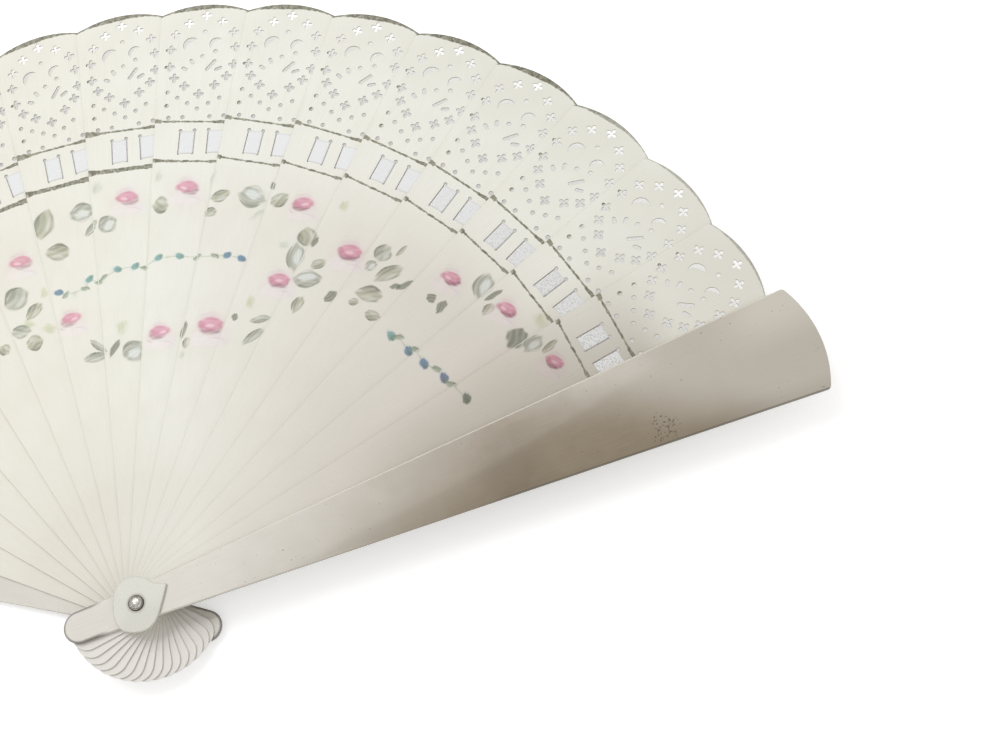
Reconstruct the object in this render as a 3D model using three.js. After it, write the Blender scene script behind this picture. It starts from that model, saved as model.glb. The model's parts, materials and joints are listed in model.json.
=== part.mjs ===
// A folding brise fan of thin celluloid blades on one rivet, laced with a silk ribbon, lying open.
// Millimetres, +Z up. The origin is on the rivet's axis, in the flat end of its back head.
// The open fan is even about +Y. The front guard lies on top at +X, and the back guard below at -X.
import * as THREE from "three";

// Blades and guards
const BLADE_COUNT = 18; // with both guards
const BLADE_SPACING = 8.5; // degrees from one blade to the next in the open fan
const BLADE_THICKNESS = 0.3;
const GUARD_THICKNESS = 1.0;
const RUNNING_GAP = 0.2; // free height between neighbours, which the ribbon runs in
const PIVOT_HALF_WIDTH = 4.5;
const TAPER = 0.0535; // growth of the half width with the distance from the pivot
const BLADE_REACH = 173.7; // pivot to the corners of a blade's scalloped end
const BLADE_SCALLOP_RISE = 3.3;
const GUARD_TAPER = 0.0565; // the guards widen a little faster than the blades
const GUARD_OVERHANG = 5.3; // how far the guards stand out past the blades
const GUARD_REACH = BLADE_REACH + GUARD_OVERHANG;
const GUARD_SCALLOP_RISE = 3.4;
const TAIL_REACH = 18.5; // pivot to the end of the rounded tail
const TAIL_HALF_WIDTH = 4.1;
const GUARD_TAIL_OVERHANG = 1.1; // how far the guards' tails stand out past the others
const GUARD_TAIL_REACH = TAIL_REACH + GUARD_TAIL_OVERHANG;

// Rivet and the shield-shaped plates under its heads
const SHANK_RADIUS = 1.2;
const BORE_CLEARANCE = 0.3;
const FRONT_HEAD_RADIUS = 2.0;
const FRONT_HEAD_RISE = 0.8;
const BACK_HEAD_RADIUS = 2.2;
const BACK_HEAD_THICKNESS = 0.5;
const SEAT_GAP = 0.05; // between a head, its plate and the guard
const PLATE_THICKNESS = 0.8;
const PLATE_SHOULDER = 6.6; // half width across the shoulders
const PLATE_POINT = 8.6; // pivot to the point that looks along the guard
const PLATE_BACK = 5.8; // pivot to the rounded back edge
const PLATE_TURN = 10; // degrees that the point stands off the guard's centre line

// Shares of the plate's sizes, along it and across it
const PLATE_NECK = [0.55, 0.4]; // the hollow side of the point
const PLATE_CORNER = [0.45, 0.8]; // where the point meets a shoulder
const PLATE_HEEL = [0.8, 0.7]; // where a shoulder meets the back edge
const PLATE_BULGE = 1.2; // how far the curves of the shoulders and the back edge pull outwards

// Ribbon and the slits that it is laced through
const RIBBON_WIDTH = 7.0;
const RIBBON_THICKNESS = 0.07;
const RIBBON_LIFT = 0.02; // between the ribbon and the face that it lies on
const RIBBON_INSET = 41.7; // corners of the scalloped end to the ribbon's middle
const RIBBON_CENTRE = BLADE_REACH - RIBBON_INSET;
const RIBBON_SLOPE = 0.5; // sideways run of the ribbon in a slit
const RIBBON_EDGE_MARGIN = 0.9; // from a blade's side to where the ribbon is cut
const RIBBON_GLUED_LENGTH = 14.0; // of each end, which is stuck to its guard
const SLIT_WIDTH = 0.9;
const SLIT_END_ROOM = 0.3;
const SLIT_SPACING = 4.1; // between the three slits, of which the middle one is on the centre line

// Pierced work in the outer end of each inner blade
// An inset is counted from the corners of the scalloped end
const CROSS_RADIUS = 1.5;
const CROSS_WAIST = 0.6; // from a cross's centre to the corners between its arms
const CROSS_ARMS = 4;
const RING_INSET = 13.3;
const RING_CENTRE = BLADE_REACH - RING_INSET;
const RING_LENGTH_RADIUS = 13.0;
const RING_WIDTH_RADIUS = 9.6;
const CRESCENT_INSET = 10.0;
const CRESCENT_CENTRE = BLADE_REACH - CRESCENT_INSET;
const CRESCENT_OFFSET = 3.7;
const CRESCENT_RADII = [2.4, 2.0]; // left and right
const CRESCENT_HOLLOW = 0.4; // how far the inner curve is set in, as a share of the radius
const CRESCENT_TURN = 45; // degrees that the crescents look to the left of the tip
const RAY_INSET = 20.5;
const RAY_CENTRE = BLADE_REACH - RAY_INSET;
const RAY_WIDTH = 0.9;

// The rays, each with its direction in degrees and the distances of its ends from their common centre
const RAYS = [
  [62, 4.6, 6.6],
  [31, 4.7, 6.7],
  [-38, 2.2, 6.6],
  [-66, 4.3, 6.7],
];

// Places of the crosses on one side of the ring, along and across, as shares of its radii
const CROSS_PLACES = [
  [1, 0],
  [0.81, 0.52],
  [0.53, 0.9],
  [0.14, 1],
  [-0.29, 0.98],
  [-0.58, 0.8],
  [-0.79, 0.46],
  [-1, 0],
];

// Fineness of the rounded outlines
const ARC_STEPS = 10;
const ROUND_SIDES = 12;
const RIVET_SIDES = 24;
const CRESCENT_STEPS = 4;
const DOME_STEPS = 5;

const BORE_RADIUS = SHANK_RADIUS + BORE_CLEARANCE;
const SLIT_OFFSETS = [SLIT_SPACING, 0, -SLIT_SPACING]; // from the centre line, left one first
const BLADE_PITCH = BLADE_THICKNESS + RUNNING_GAP;
const INNER_BLADES = BLADE_COUNT - 2;
const OPEN_SPREAD = BLADE_SPACING * (BLADE_COUNT - 1);
const FRONT_ANGLE = 90 - OPEN_SPREAD / 2;

// Heights of the undersides, from the back head up
const BACK_PLATE_Z = BACK_HEAD_THICKNESS + SEAT_GAP;
const BACK_GUARD_Z = BACK_PLATE_Z + PLATE_THICKNESS + SEAT_GAP;
const LOWEST_BLADE_Z = BACK_GUARD_Z + GUARD_THICKNESS + RUNNING_GAP;
const FRONT_GUARD_Z = LOWEST_BLADE_Z + INNER_BLADES * BLADE_PITCH;
const FRONT_PLATE_Z = FRONT_GUARD_Z + GUARD_THICKNESS + SEAT_GAP;
const FRONT_HEAD_Z = FRONT_PLATE_Z + PLATE_THICKNESS + SEAT_GAP;

const celluloid = { color: 0xebe8dc, roughness: 0.32, metalness: 0 };
const guardCelluloid = { color: 0xddd6c8, roughness: 0.22, metalness: 0 };
const plateCelluloid = { color: 0xe9e4d2, roughness: 0.3, metalness: 0 };
const silk = { color: 0xeceef2, roughness: 0.55, metalness: 0 };
const steel = { color: 0x9a978f, roughness: 0.3, metalness: 1 };

const fan = new THREE.Group();

// Points of an arc from one angle to another, in radians, both ends included
function arc(x, y, radius, from, to, steps) {
  const points = [];
  for (let i = 0; i <= steps; i += 1) {
    const angle = from + ((to - from) * i) / steps;
    points.push(new THREE.Vector2(x + radius * Math.cos(angle), y + radius * Math.sin(angle)));
  }
  return points;
}

// A closed ring of points, turned and moved to its place on the blade
function placed(points, x, y, turn = 0) {
  const centre = new THREE.Vector2();
  return points.map((p) => p.clone().rotateAround(centre, turn).add(new THREE.Vector2(x, y)));
}

function circle(radius, sides) {
  const step = (2 * Math.PI) / sides;
  return arc(0, 0, radius, 0, 2 * Math.PI - step, sides - 1);
}

function rectangle(length, width) {
  const halfLength = length / 2;
  const halfWidth = width / 2;
  return [
    new THREE.Vector2(-halfLength, -halfWidth),
    new THREE.Vector2(halfLength, -halfWidth),
    new THREE.Vector2(halfLength, halfWidth),
    new THREE.Vector2(-halfLength, halfWidth),
  ];
}

// A moon whose outer curve faces along X and whose inner curve runs back inside it
function crescent(radius) {
  const outer = arc(0, 0, radius, -Math.PI / 2, Math.PI / 2, CRESCENT_STEPS);
  const inner = outer.slice(1, -1).map((p) => new THREE.Vector2(p.x * CRESCENT_HOLLOW, p.y));
  return outer.concat(inner.reverse());
}

// Outline of a blade seen from above: rounded tail, two tapering sides and a scalloped end
function bladeOutline(reach, rise, taper, tailReach) {
  const tipHalf = PIVOT_HALF_WIDTH + taper * reach;
  const tipRadius = (tipHalf * tipHalf + rise * rise) / (2 * rise);
  const tipAngle = Math.asin(tipHalf / tipRadius);
  const tip = arc(reach + rise - tipRadius, 0, tipRadius, -tipAngle, tipAngle, ARC_STEPS);
  const tailX = TAIL_HALF_WIDTH - tailReach;
  const tail = arc(tailX, 0, TAIL_HALF_WIDTH, Math.PI / 2, Math.PI * 1.5, ARC_STEPS);
  const left = new THREE.Vector2(0, PIVOT_HALF_WIDTH);
  const right = new THREE.Vector2(0, -PIVOT_HALF_WIDTH);
  return tip.concat([left], tail, [right]);
}

// The slits for the ribbon, along the blade
function slits() {
  const slit = rectangle(RIBBON_WIDTH + 2 * SLIT_END_ROOM, SLIT_WIDTH);
  return SLIT_OFFSETS.map((offset) => placed(slit, RIBBON_CENTRE, offset));
}

// A cross with pointed arms, two of them along the blade
function cross() {
  const tips = circle(CROSS_RADIUS, CROSS_ARMS);
  const corners = placed(circle(CROSS_WAIST, CROSS_ARMS), 0, 0, Math.PI / CROSS_ARMS);
  return tips.flatMap((tip, i) => [tip, corners[i]]);
}

// The ring of crosses, even about the centre line
function crosses() {
  const holes = [];
  for (const [along, across] of CROSS_PLACES) {
    const x = RING_CENTRE + RING_LENGTH_RADIUS * along;
    const y = RING_WIDTH_RADIUS * across;
    holes.push(placed(cross(), x, y));
    if (across > 0) {
      holes.push(placed(cross(), x, -y));
    }
  }
  return holes;
}

function crescents() {
  const turn = THREE.MathUtils.degToRad(CRESCENT_TURN);
  return CRESCENT_RADII.map((radius, i) => {
    const side = i === 0 ? 1 : -1;
    return placed(crescent(radius), CRESCENT_CENTRE, side * CRESCENT_OFFSET, turn);
  });
}

// Short slots that stand like rays round a plain centre
function rays() {
  return RAYS.map(([degrees, inner, outer]) => {
    const angle = THREE.MathUtils.degToRad(degrees);
    const middle = (inner + outer) / 2;
    const x = RAY_CENTRE + middle * Math.cos(angle);
    return placed(rectangle(outer - inner, RAY_WIDTH), x, middle * Math.sin(angle), angle);
  });
}

function extrude(outline, holes, depth) {
  const shape = new THREE.Shape(outline);
  shape.holes = holes.map((hole) => new THREE.Path(hole));
  return new THREE.ExtrudeGeometry(shape, { depth, bevelEnabled: false });
}

// Adds one named piece, turned about the rivet and raised to its height
function addPiece(name, geometry, finish, degrees, z) {
  const mesh = new THREE.Mesh(geometry, new THREE.MeshStandardMaterial(finish));
  mesh.name = name;
  mesh.rotation.z = THREE.MathUtils.degToRad(degrees);
  mesh.position.z = z;
  fan.add(mesh);
}

// Angle and underside of the blade at an index, counted from the front guard
function bladeAngle(index) {
  return FRONT_ANGLE + BLADE_SPACING * index;
}

function bladeZ(index) {
  return LOWEST_BLADE_Z + (INNER_BLADES - index) * BLADE_PITCH;
}

function guard() {
  const outline = bladeOutline(GUARD_REACH, GUARD_SCALLOP_RISE, GUARD_TAPER, GUARD_TAIL_REACH);
  return extrude(outline, [circle(BORE_RADIUS, ROUND_SIDES)], GUARD_THICKNESS);
}

function innerBlade() {
  const outline = bladeOutline(BLADE_REACH, BLADE_SCALLOP_RISE, TAPER, TAIL_REACH);
  const holes = [circle(BORE_RADIUS, ROUND_SIDES)].concat(slits(), crosses(), crescents(), rays());
  return extrude(outline, holes, BLADE_THICKNESS);
}

// A strip that follows a path across the blade, in millimetres sideways and up
function strip(path) {
  const half = RIBBON_THICKNESS / 2;
  const upper = path.map(([y, z]) => new THREE.Vector2(y, z + half));
  const lower = path.map(([y, z]) => new THREE.Vector2(y, z - half)).reverse();
  const geometry = extrude(lower.concat(upper), [], RIBBON_WIDTH);
  geometry.rotateX(Math.PI / 2);
  geometry.rotateZ(Math.PI / 2);
  geometry.translate(RIBBON_CENTRE - RIBBON_WIDTH / 2, 0, 0);
  return geometry;
}

// Sideways place of the ribbon's cut ends, inside the blade's edges
const RIBBON_END = PIVOT_HALF_WIDTH + TAPER * RIBBON_CENTRE - RIBBON_EDGE_MARGIN;
const RIBBON_RISE = RIBBON_LIFT + RIBBON_THICKNESS / 2;

// The stretch of ribbon that one blade carries: over its right side, down and up through its slits
function lacedRibbon() {
  const over = BLADE_THICKNESS + RIBBON_RISE;
  const under = -RIBBON_RISE;
  const half = RIBBON_SLOPE / 2;
  const path = [[-RIBBON_END, over]];
  let level = over;
  for (const offset of [...SLIT_OFFSETS].reverse()) {
    path.push([offset - half, level]);
    level = level === over ? under : over;
    path.push([offset + half, level]);
  }
  path.push([RIBBON_END, level]);
  return strip(path);
}

function gluedRibbon(from, to, z) {
  return strip([[from, z], [to, z]]);
}

// Outline of the plate: a point, two curved shoulders and a rounded back
function plateOutline() {
  const neckX = PLATE_POINT * PLATE_NECK[0];
  const neckY = PLATE_SHOULDER * PLATE_NECK[1];
  const cornerX = PLATE_POINT * PLATE_CORNER[0];
  const cornerY = PLATE_SHOULDER * PLATE_CORNER[1];
  const heelX = -PLATE_BACK * PLATE_HEEL[0];
  const heelY = PLATE_SHOULDER * PLATE_HEEL[1];
  const bulgeX = -PLATE_BACK * PLATE_BULGE;
  const bulgeY = PLATE_SHOULDER * PLATE_BULGE;
  const shape = new THREE.Shape();
  shape.moveTo(PLATE_POINT, 0);
  shape.quadraticCurveTo(neckX, neckY, cornerX, cornerY);
  shape.quadraticCurveTo(0, bulgeY, heelX, heelY);
  shape.quadraticCurveTo(bulgeX, 0, heelX, -heelY);
  shape.quadraticCurveTo(0, -bulgeY, cornerX, -cornerY);
  shape.quadraticCurveTo(neckX, -neckY, PLATE_POINT, 0);
  return shape.getPoints(ARC_STEPS / 2).slice(1);
}

function plate(turn) {
  const outline = placed(plateOutline(), 0, 0, THREE.MathUtils.degToRad(turn));
  return extrude(outline, [circle(BORE_RADIUS, ROUND_SIDES)], PLATE_THICKNESS);
}

// The rivet: flat back head, shank through every blade and domed front head
function rivet() {
  const domeRadius = (FRONT_HEAD_RADIUS ** 2 + FRONT_HEAD_RISE ** 2) / (2 * FRONT_HEAD_RISE);
  const domeAngle = Math.asin(FRONT_HEAD_RADIUS / domeRadius);
  const domeCentre = FRONT_HEAD_Z + FRONT_HEAD_RISE - domeRadius;
  const dome = arc(0, domeCentre, domeRadius, Math.PI / 2 - domeAngle, Math.PI / 2, DOME_STEPS);
  dome[dome.length - 1].x = 0;
  const profile = [
    new THREE.Vector2(0, 0),
    new THREE.Vector2(BACK_HEAD_RADIUS, 0),
    new THREE.Vector2(BACK_HEAD_RADIUS, BACK_HEAD_THICKNESS),
    new THREE.Vector2(SHANK_RADIUS, BACK_HEAD_THICKNESS),
    new THREE.Vector2(SHANK_RADIUS, FRONT_HEAD_Z),
    ...dome,
  ];
  const geometry = new THREE.LatheGeometry(profile, RIVET_SIDES);
  geometry.rotateX(Math.PI / 2);
  return geometry;
}

function addGuards() {
  const last = BLADE_COUNT - 1;
  addPiece("front_guard", guard(), guardCelluloid, bladeAngle(0), FRONT_GUARD_Z);
  addPiece("back_guard", guard(), guardCelluloid, bladeAngle(last), BACK_GUARD_Z);
  const under = gluedRibbon(RIBBON_END - RIBBON_GLUED_LENGTH, RIBBON_END, -RIBBON_RISE);
  const over = gluedRibbon(-RIBBON_END, RIBBON_GLUED_LENGTH - RIBBON_END, GUARD_THICKNESS + RIBBON_RISE);
  addPiece("ribbon_front_end", under, silk, bladeAngle(0), FRONT_GUARD_Z);
  addPiece("ribbon_back_end", over, silk, bladeAngle(last), BACK_GUARD_Z);
}

function addInnerBlades() {
  for (let index = 1; index <= INNER_BLADES; index += 1) {
    const number = String(index).padStart(2, "0");
    addPiece(`blade_${number}`, innerBlade(), celluloid, bladeAngle(index), bladeZ(index));
    addPiece(`ribbon_${number}`, lacedRibbon(), silk, bladeAngle(index), bladeZ(index));
  }
}

function addPivot() {
  addPiece("rivet", rivet(), steel, 0, 0);
  addPiece("front_plate", plate(PLATE_TURN), plateCelluloid, bladeAngle(0), FRONT_PLATE_Z);
  addPiece("back_plate", plate(-PLATE_TURN), plateCelluloid, bladeAngle(BLADE_COUNT - 1), BACK_PLATE_Z);
}

addGuards();
addInnerBlades();
addPivot();

export default fan;
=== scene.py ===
"""Looks of a brise fan: pierced and painted celluloid blades, a laced silk ribbon, two guards and a rivet.

Sizes are millimetres in a blade's own frame: x outward from the rivet, y to its left, z up from its
underside. Angles are degrees. Objects are in metres and stand on the rivet's axis, at their blade's angle
and height.
"""

import json
import math

import bpy
import numpy as np
from mathutils import Matrix, Vector
from mathutils.geometry import delaunay_2d_cdt


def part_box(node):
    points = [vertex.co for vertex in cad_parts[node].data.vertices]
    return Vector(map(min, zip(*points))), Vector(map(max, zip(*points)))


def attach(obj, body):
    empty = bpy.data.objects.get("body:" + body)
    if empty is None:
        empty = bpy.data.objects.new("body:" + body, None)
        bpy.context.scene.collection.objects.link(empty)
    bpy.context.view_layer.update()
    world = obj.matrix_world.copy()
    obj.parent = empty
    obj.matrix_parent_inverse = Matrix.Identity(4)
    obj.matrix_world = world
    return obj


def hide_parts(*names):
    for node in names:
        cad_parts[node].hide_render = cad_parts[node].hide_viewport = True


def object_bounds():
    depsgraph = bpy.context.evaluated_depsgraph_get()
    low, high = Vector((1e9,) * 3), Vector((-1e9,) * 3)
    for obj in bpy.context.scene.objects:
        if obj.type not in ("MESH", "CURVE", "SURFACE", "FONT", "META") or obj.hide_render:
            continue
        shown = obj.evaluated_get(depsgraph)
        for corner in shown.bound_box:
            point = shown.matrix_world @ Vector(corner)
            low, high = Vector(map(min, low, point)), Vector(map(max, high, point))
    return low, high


MM = 0.001

# Blades and guards, as in the solids
BLADE_SPACING = 8.5
BLADE_THICKNESS = 0.3
GUARD_THICKNESS = 1.0
PIVOT_HALF_WIDTH = 4.5
TAPER = 0.0535
BLADE_REACH = 173.7
BLADE_SCALLOP_RISE = 3.3
GUARD_TAPER = 0.0565
GUARD_REACH = BLADE_REACH + 5.3
GUARD_SCALLOP_RISE = 3.4
TAIL_REACH = 18.5
TAIL_HALF_WIDTH = 4.1
GUARD_TAIL_REACH = TAIL_REACH + 1.1
BORE_RADIUS = 1.5

# Rims and fineness of the sheets
BLADE_BEVEL = 0.05
GUARD_BEVEL = 0.22
BLADE_CORNER = 0.5
GUARD_CORNER = 0.9
GUARD_CROWN = 0.15  # how far the guard's face swells along its middle
CROWN_START, CROWN_FULL = 16.0, 60.0  # distances from the pivot between which the swelling grows
CROWN_FADE = GUARD_REACH - 8  # from here it fades towards the tip
BACK_STAIN_AND_REFLECTION = 0.3  # the back guard's share of the front one's brown band, partly stained and partly painted dark reflection
TIP_STEPS = 44
TAIL_STEPS = 22
CORNER_STEPS = 5
BORE_SIDES = 24
WELD_DISTANCE = 1e-7
MITRE_LIMIT = 0.5  # keeps sharp corners of an inset rim from running off
GUARD_GRID_STEP, GUARD_GRID_ROOM, GUARD_GRID_HALF = 1.3, 0.6, 15.0  # points of the swollen face

# Pierced work. Places along the blade are counted from the corners of the scalloped end
CROSSES = ((1, 0), (0.81, 0.52), (0.53, 0.9), (0.14, 1), (-0.29, 0.98), (-0.58, 0.8), (-0.79, 0.46), (-1, 0))
RING_CENTRE = BLADE_REACH - 13.3
RING_RADII = (13.0, 9.6)
CROSS_CORE, CROSS_PETAL = 0.4, 1.15
CRESCENT_X = BLADE_REACH - 10.0
CRESCENTS = ((3.7, 2.4), (-3.7, 2.0))  # sideways place and radius
CRESCENT_HOLLOW = 0.4
CRESCENT_TURN = 45
RAY_CENTRE = BLADE_REACH - 20.5
RAYS = ((62, 4.6, 6.6), (31, 4.7, 6.7), (-38, 2.2, 6.6), (-66, 4.3, 6.7))  # direction and the two ends
RAY_WIDTH = 1.0
DOT_RADIUS = 0.62
DOT_SIDES, CROSS_STEPS, CRESCENT_STEPS = 14, 40, 12
UPPER_DOTS = ((-5.8, 0.0), (-14.0, 0.0), (-12.5, -3.7))
VEE_POINT = (-31.0, 0.0)
VEE_ARMS = ((1.87, 3.05, 3), (1.6, -3.1, 2))  # step from dot to dot and count, left arm and right arm
LOW_DOTS = ((-29.7, 9.05), (-33.6, 8.1), (-33.6, 4.0), (-33.7, -3.9), (-33.6, -8.0))

# Ribbon and its slits, each with a pinhole at its outer end
RIBBON_WIDTH = 7.0
RIBBON_THICKNESS = 0.07
RIBBON_LIFT = 0.02
RIBBON_CENTRE = BLADE_REACH - 41.7
RIBBON_SLOPE = 0.36
RIBBON_EDGE_MARGIN = 0.9
RIBBON_END = PIVOT_HALF_WIDTH + TAPER * RIBBON_CENTRE - RIBBON_EDGE_MARGIN
RIBBON_GLUED_LENGTH = 14.0
SLIT_WIDTH = 0.5
SLIT_END_ROOM = 0.3
SLIT_OFFSETS = (4.1, 0.0, -4.1)
PIN_RADIUS = 0.52
PIN_STEPS, SLIT_STEPS = 14, 6
RIBBON_ROWS = 25  # points across the ribbon
FLAT_STEPS, SLOPE_STEPS, GLUED_STEPS = 12, 7, 30  # points along a flat, a sloping and a glued run
AGED_AND_SHADED_SILK = 20.0, 74.0  # angles between which the silk turns from dull and in painted shade to white
SILK_AGE_AND_SHADE = 0.85

# Gilding: lines beside the ribbon and the scalloped edge. A swelling is two sideways places, and half of the
# line's width at them
LINE_PLACES = BLADE_REACH - 47.1, BLADE_REACH - 34.6  # at the blade's left side
LINE_SLANT = 0.05
LINE_THICKNESS = (0.28, 0.68), (0.3, 0.34)  # half of each line, on the right blades and on the left ones
LINE_BLOCK = 9.7, 10.3, 0.0, 0.62
LINE_WEDGE = 4.0, 11.5, 0.0, 0.95  # on the left blades
LINE_RIGHT_END = -4.4, -6.0, 0.0, 0.15
LINE_WOBBLE = 0.8
LINE_SOFTNESS = 0.1
VISIBLE_LEFT = 11.7  # left side of a blade at the lines
RIM_SIDE, RIM_MIDDLE = 13, 3  # sideways places of the narrow and the wide gilding of the rim
RIM_WIDTHS = 0.5, 1.7
RIM_WOBBLE = 0.6
RIM_SOFTNESS = 0.2
RIM_START = BLADE_REACH - 6
RIGHT_RIM_WIDTH, RIGHT_RIM_COVER = -0.5, -0.4  # what the right blades' rims lack

# Plate and rivet
PLATE_THICKNESS = 0.8
PLATE_BEVEL = 0.18
PLATE_CORNERS = (-4.6, 4.6), (0.6, 6.9), (4.9, 3.9), (8.5, 1.9), (4.4, -4.9), (-1.2, -7.3), (-5.7, -4.6)
PLATE_PULLS = (-2.6, 7.4), (3.2, 6.5), (5.7, 3.0), (6.6, -1.6), (2.0, -8.0), (-4.4, -6.6), (-7.2, -0.4)
PLATE_STEPS = 8, 6, 5, 6, 8, 6, 8
SHANK_RADIUS = 1.2
FRONT_HEAD_RADIUS = 2.0
FRONT_HEAD_RISE = 0.8
ROLLED_RIM = 0.22, 0.2  # half its width and half its height
ROLLED_ANGLES = -30, 0, 30, 60, 90, 120
DOME_RADIUS = 1.52
DOME_SEAT = 0.26  # height of the dome's foot
DOME_ANGLES = 2, 12, 24, 36, 48, 60, 72, 82
BACK_HEAD_RADIUS = 2.2
BACK_HEAD_THICKNESS = 0.5
BACK_HEAD_BEVEL = 0.1
RIVET_SIDES = 48

# Rims that bend less than this, in degrees, are shaded as round
GUARD_SMOOTH, PLATE_SMOOTH, RIBBON_SMOOTH, RIVET_SMOOTH = 28, 28, 50, 40

# Painted garland. A place is a distance from the pivot and an angle in the open fan
# Distance, angle and half the width of each rose
ROSES = (
    (108, 111.5, 3.4), (85, 106, 3.2), (117, 94.5, 3.5), (118, 86, 3.5), (75, 88.5, 3.2), (77, 78, 4.0),
    (116, 69, 3.3), (93, 68, 3.4), (107, 59.5, 3.8), (115, 45, 3.0), (119, 36.5, 3.0), (120.5, 27, 2.8),
)
# Kind, distance, angle, heading from the outward direction, length and width of each leaf
LEAVES = (
    ("olive", 116, 106.5, 154, 9, 4.7), ("olive", 106, 105.5, 68, 7, 4.2),
    ("outline", 116, 101, 89, 7, 4.4), ("outline", 110, 97.5, 128, 5.4, 4.2),
    ("grey", 110, 100, 135, 5.6, 1.8), ("pale", 122, 98.5, 165, 5, 3.4), ("grey", 98, 114, 116, 7.2, 5.6),
    ("olive", 92, 112, 118, 6, 2.8), ("yellow", 96, 109.5, 161, 3.8, 2.3),
    ("grey", 88, 115.5, 69, 5.6, 3.2), ("olive", 83, 114, -88, 4.6, 3.8),
    ("yellow", 89, 113.5, -127, 4.8, 2), ("yellow", 85, 110.5, -119, 5.2, 3),
    ("olive", 86, 119.5, -162, 3.6, 2.7), ("grey", 74.5, 102, -140, 6.6, 1.5),
    ("grey", 71.5, 103, 83, 6.5, 2.3), ("yellow", 78, 96.5, 159, 5.2, 3.4),
    ("dark", 72.5, 98.5, 145, 5.8, 1.5), ("outline", 70.5, 94.5, 119, 6.4, 4.8),
    ("pale", 122, 90, 176, 4.2, 2.3), ("olive", 113, 89.5, -96, 4.8, 4.2),
    ("pale", 120.5, 82.5, 172, 6.5, 1.7), ("olive", 115, 81, 119, 5.6, 2.8),
    ("olive", 110, 82, 114, 3.8, 2.3), ("outline", 115.5, 76.5, -99, 8.4, 5),
    ("pale", 110.5, 75, 137, 6, 1.8), ("yellow", 85, 71.5, -161, 5.2, 2.4),
    ("dark", 80, 73.5, -174, 2.2, 1.5), ("grey", 81, 68.5, -63, 5.6, 1.7), ("grey", 76, 68.5, 144, 7, 2),
    ("dark", 75, 83.5, 170, 5.8, 1.4), ("olive", 71.5, 82.5, 169, 3.4, 1.5), ("pale", 68, 83, -5, 3.2, 1.5),
    ("olive", 115.5, 72.5, -47, 5.4, 3.3), ("dark", 119.5, 74, -161, 2.9, 1.3),
    ("olive", 107, 66.5, -145, 5.6, 4.4), ("dark", 106, 65, 170, 3.6, 1.1),
    ("outline", 100.5, 67, -165, 8.8, 3.8), ("pale", 103, 69.5, -93, 3.2, 2.4),
    ("olive", 100.5, 63, -46, 4.8, 2.2), ("outline", 95.5, 63.5, -65, 7.8, 3.8),
    ("olive", 88, 63, 176, 5.4, 2.4), ("dark", 93.5, 58.5, 159, 4, 2.2), ("grey", 110.5, 55, 171, 5.4, 4),
    ("outline", 106, 55.5, 157, 3.6, 2.2), ("olive", 106.5, 52.5, 147, 8.6, 3.2),
    ("olive", 99, 53, 112, 7.4, 3.8), ("olive", 95, 54.5, -61, 2.8, 1.7),
    ("olive", 94.5, 50.5, -75, 4.4, 2.4), ("yellow", 118.5, 63.5, -145, 3.8, 3),
    ("dark", 104.5, 50.5, 134, 3, 1.3), ("outline", 119, 41, -158, 8, 4), ("dark", 119, 39, 167, 5.4, 1.3),
    ("olive", 115.5, 38, 179, 4.2, 2.1), ("dark", 107.5, 45, 148, 2.8, 2.3),
    ("dark", 107.5, 43, -171, 4.2, 2), ("yellow", 124, 32.5, -140, 5, 4.4),
    ("dark", 116, 32.5, -161, 6.2, 4.6), ("outline", 118.5, 30.5, -173, 6.2, 3.2),
    ("olive", 121.5, 29, -170, 5.2, 1.6), ("olive", 113.5, 53, 168, 4.2, 1),
    ("dark", 106, 49.5, 154, 5, 1.4),
)
# Tone, distance and angle of each bud of the two sprays
SPRAYS = (
    (
        ("blue", 94, 107), ("leaf", 92.5, 106), ("leaf", 92.5, 102.5), ("teal", 95, 101.5),
        ("leaf", 93, 100), ("leaf", 94, 99), ("teal", 95.5, 96.5), ("teal", 95.5, 93.5), ("leaf", 94.5, 92),
        ("teal", 97, 89.5), ("teal", 97, 86), ("leaf", 96.5, 83), ("leaf", 97, 80), ("blue", 97.5, 78),
        ("blue", 97, 75.5),
    ),
    (
        ("teal", 93, 45.5), ("leaf", 94, 44.5), ("blue", 93, 41.5), ("leaf", 94.5, 41), ("blue", 93.5, 38),
        ("leaf", 95, 36), ("violet", 95, 34), ("leaf", 95.5, 32.5), ("dark", 96.5, 29),
    ),
)
MIRROR_BELOW = 60  # what is painted at a smaller angle has its mirror image on the left side
BUD_LENGTH, BUD_WIDTH = 3.3, 2.4
BUD_TURNS = -20, 35  # by which every other bud stands off its place's direction
BUD_HEART = 0.6  # how far a bud's dark heart lies from its middle
RIGHT_BUDS = 1.2  # the buds of the right spray against those of the left one
STROKE_WIDTH = 0.5  # of stems and veins
STEM_LENGTH, STEM_STRENGTH = 1.2, 0.5  # length against the room between two buds
ROSE_DEPTH = 35, 110  # angles between which the roses turn paler
ROSE_DEEPEST, ROSE_DEPTH_LOSS = 1.4, 0.5
ROSE_LEAN = 0.25  # how far a rose's dark rim may stand to a side
LEAF_FULLNESS = 1.2, 1.5  # the painted leaf against the size in the list, along and across
LEAF_POINT = 0.5  # 0 for a round end and 1 for a sharp one
PAINT_STEP = 0.2
PAINT_ZONE = (60.0, 126.0), (-9.5, 11.5)
OVERLAP_MARGIN = 0.3  # the paint goes this far under the next blade
TOUCH_MARGIN = 0.6
TOUCH_NEAR = -0.5  # shape value down to which the mesh of a touch is refined
RIM_WAVES = (0.1, 5, 2), (0.07, 4, 9)  # height of the waves in a touch's rim, and rates along and across it
HAIR_DEPTH, HAIR_RATE, HAIR_SWAY, HAIR_BEND = 0.1, 11, 3, 2.5  # the brush's hairs
COVER_GAIN = 1.4

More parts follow.
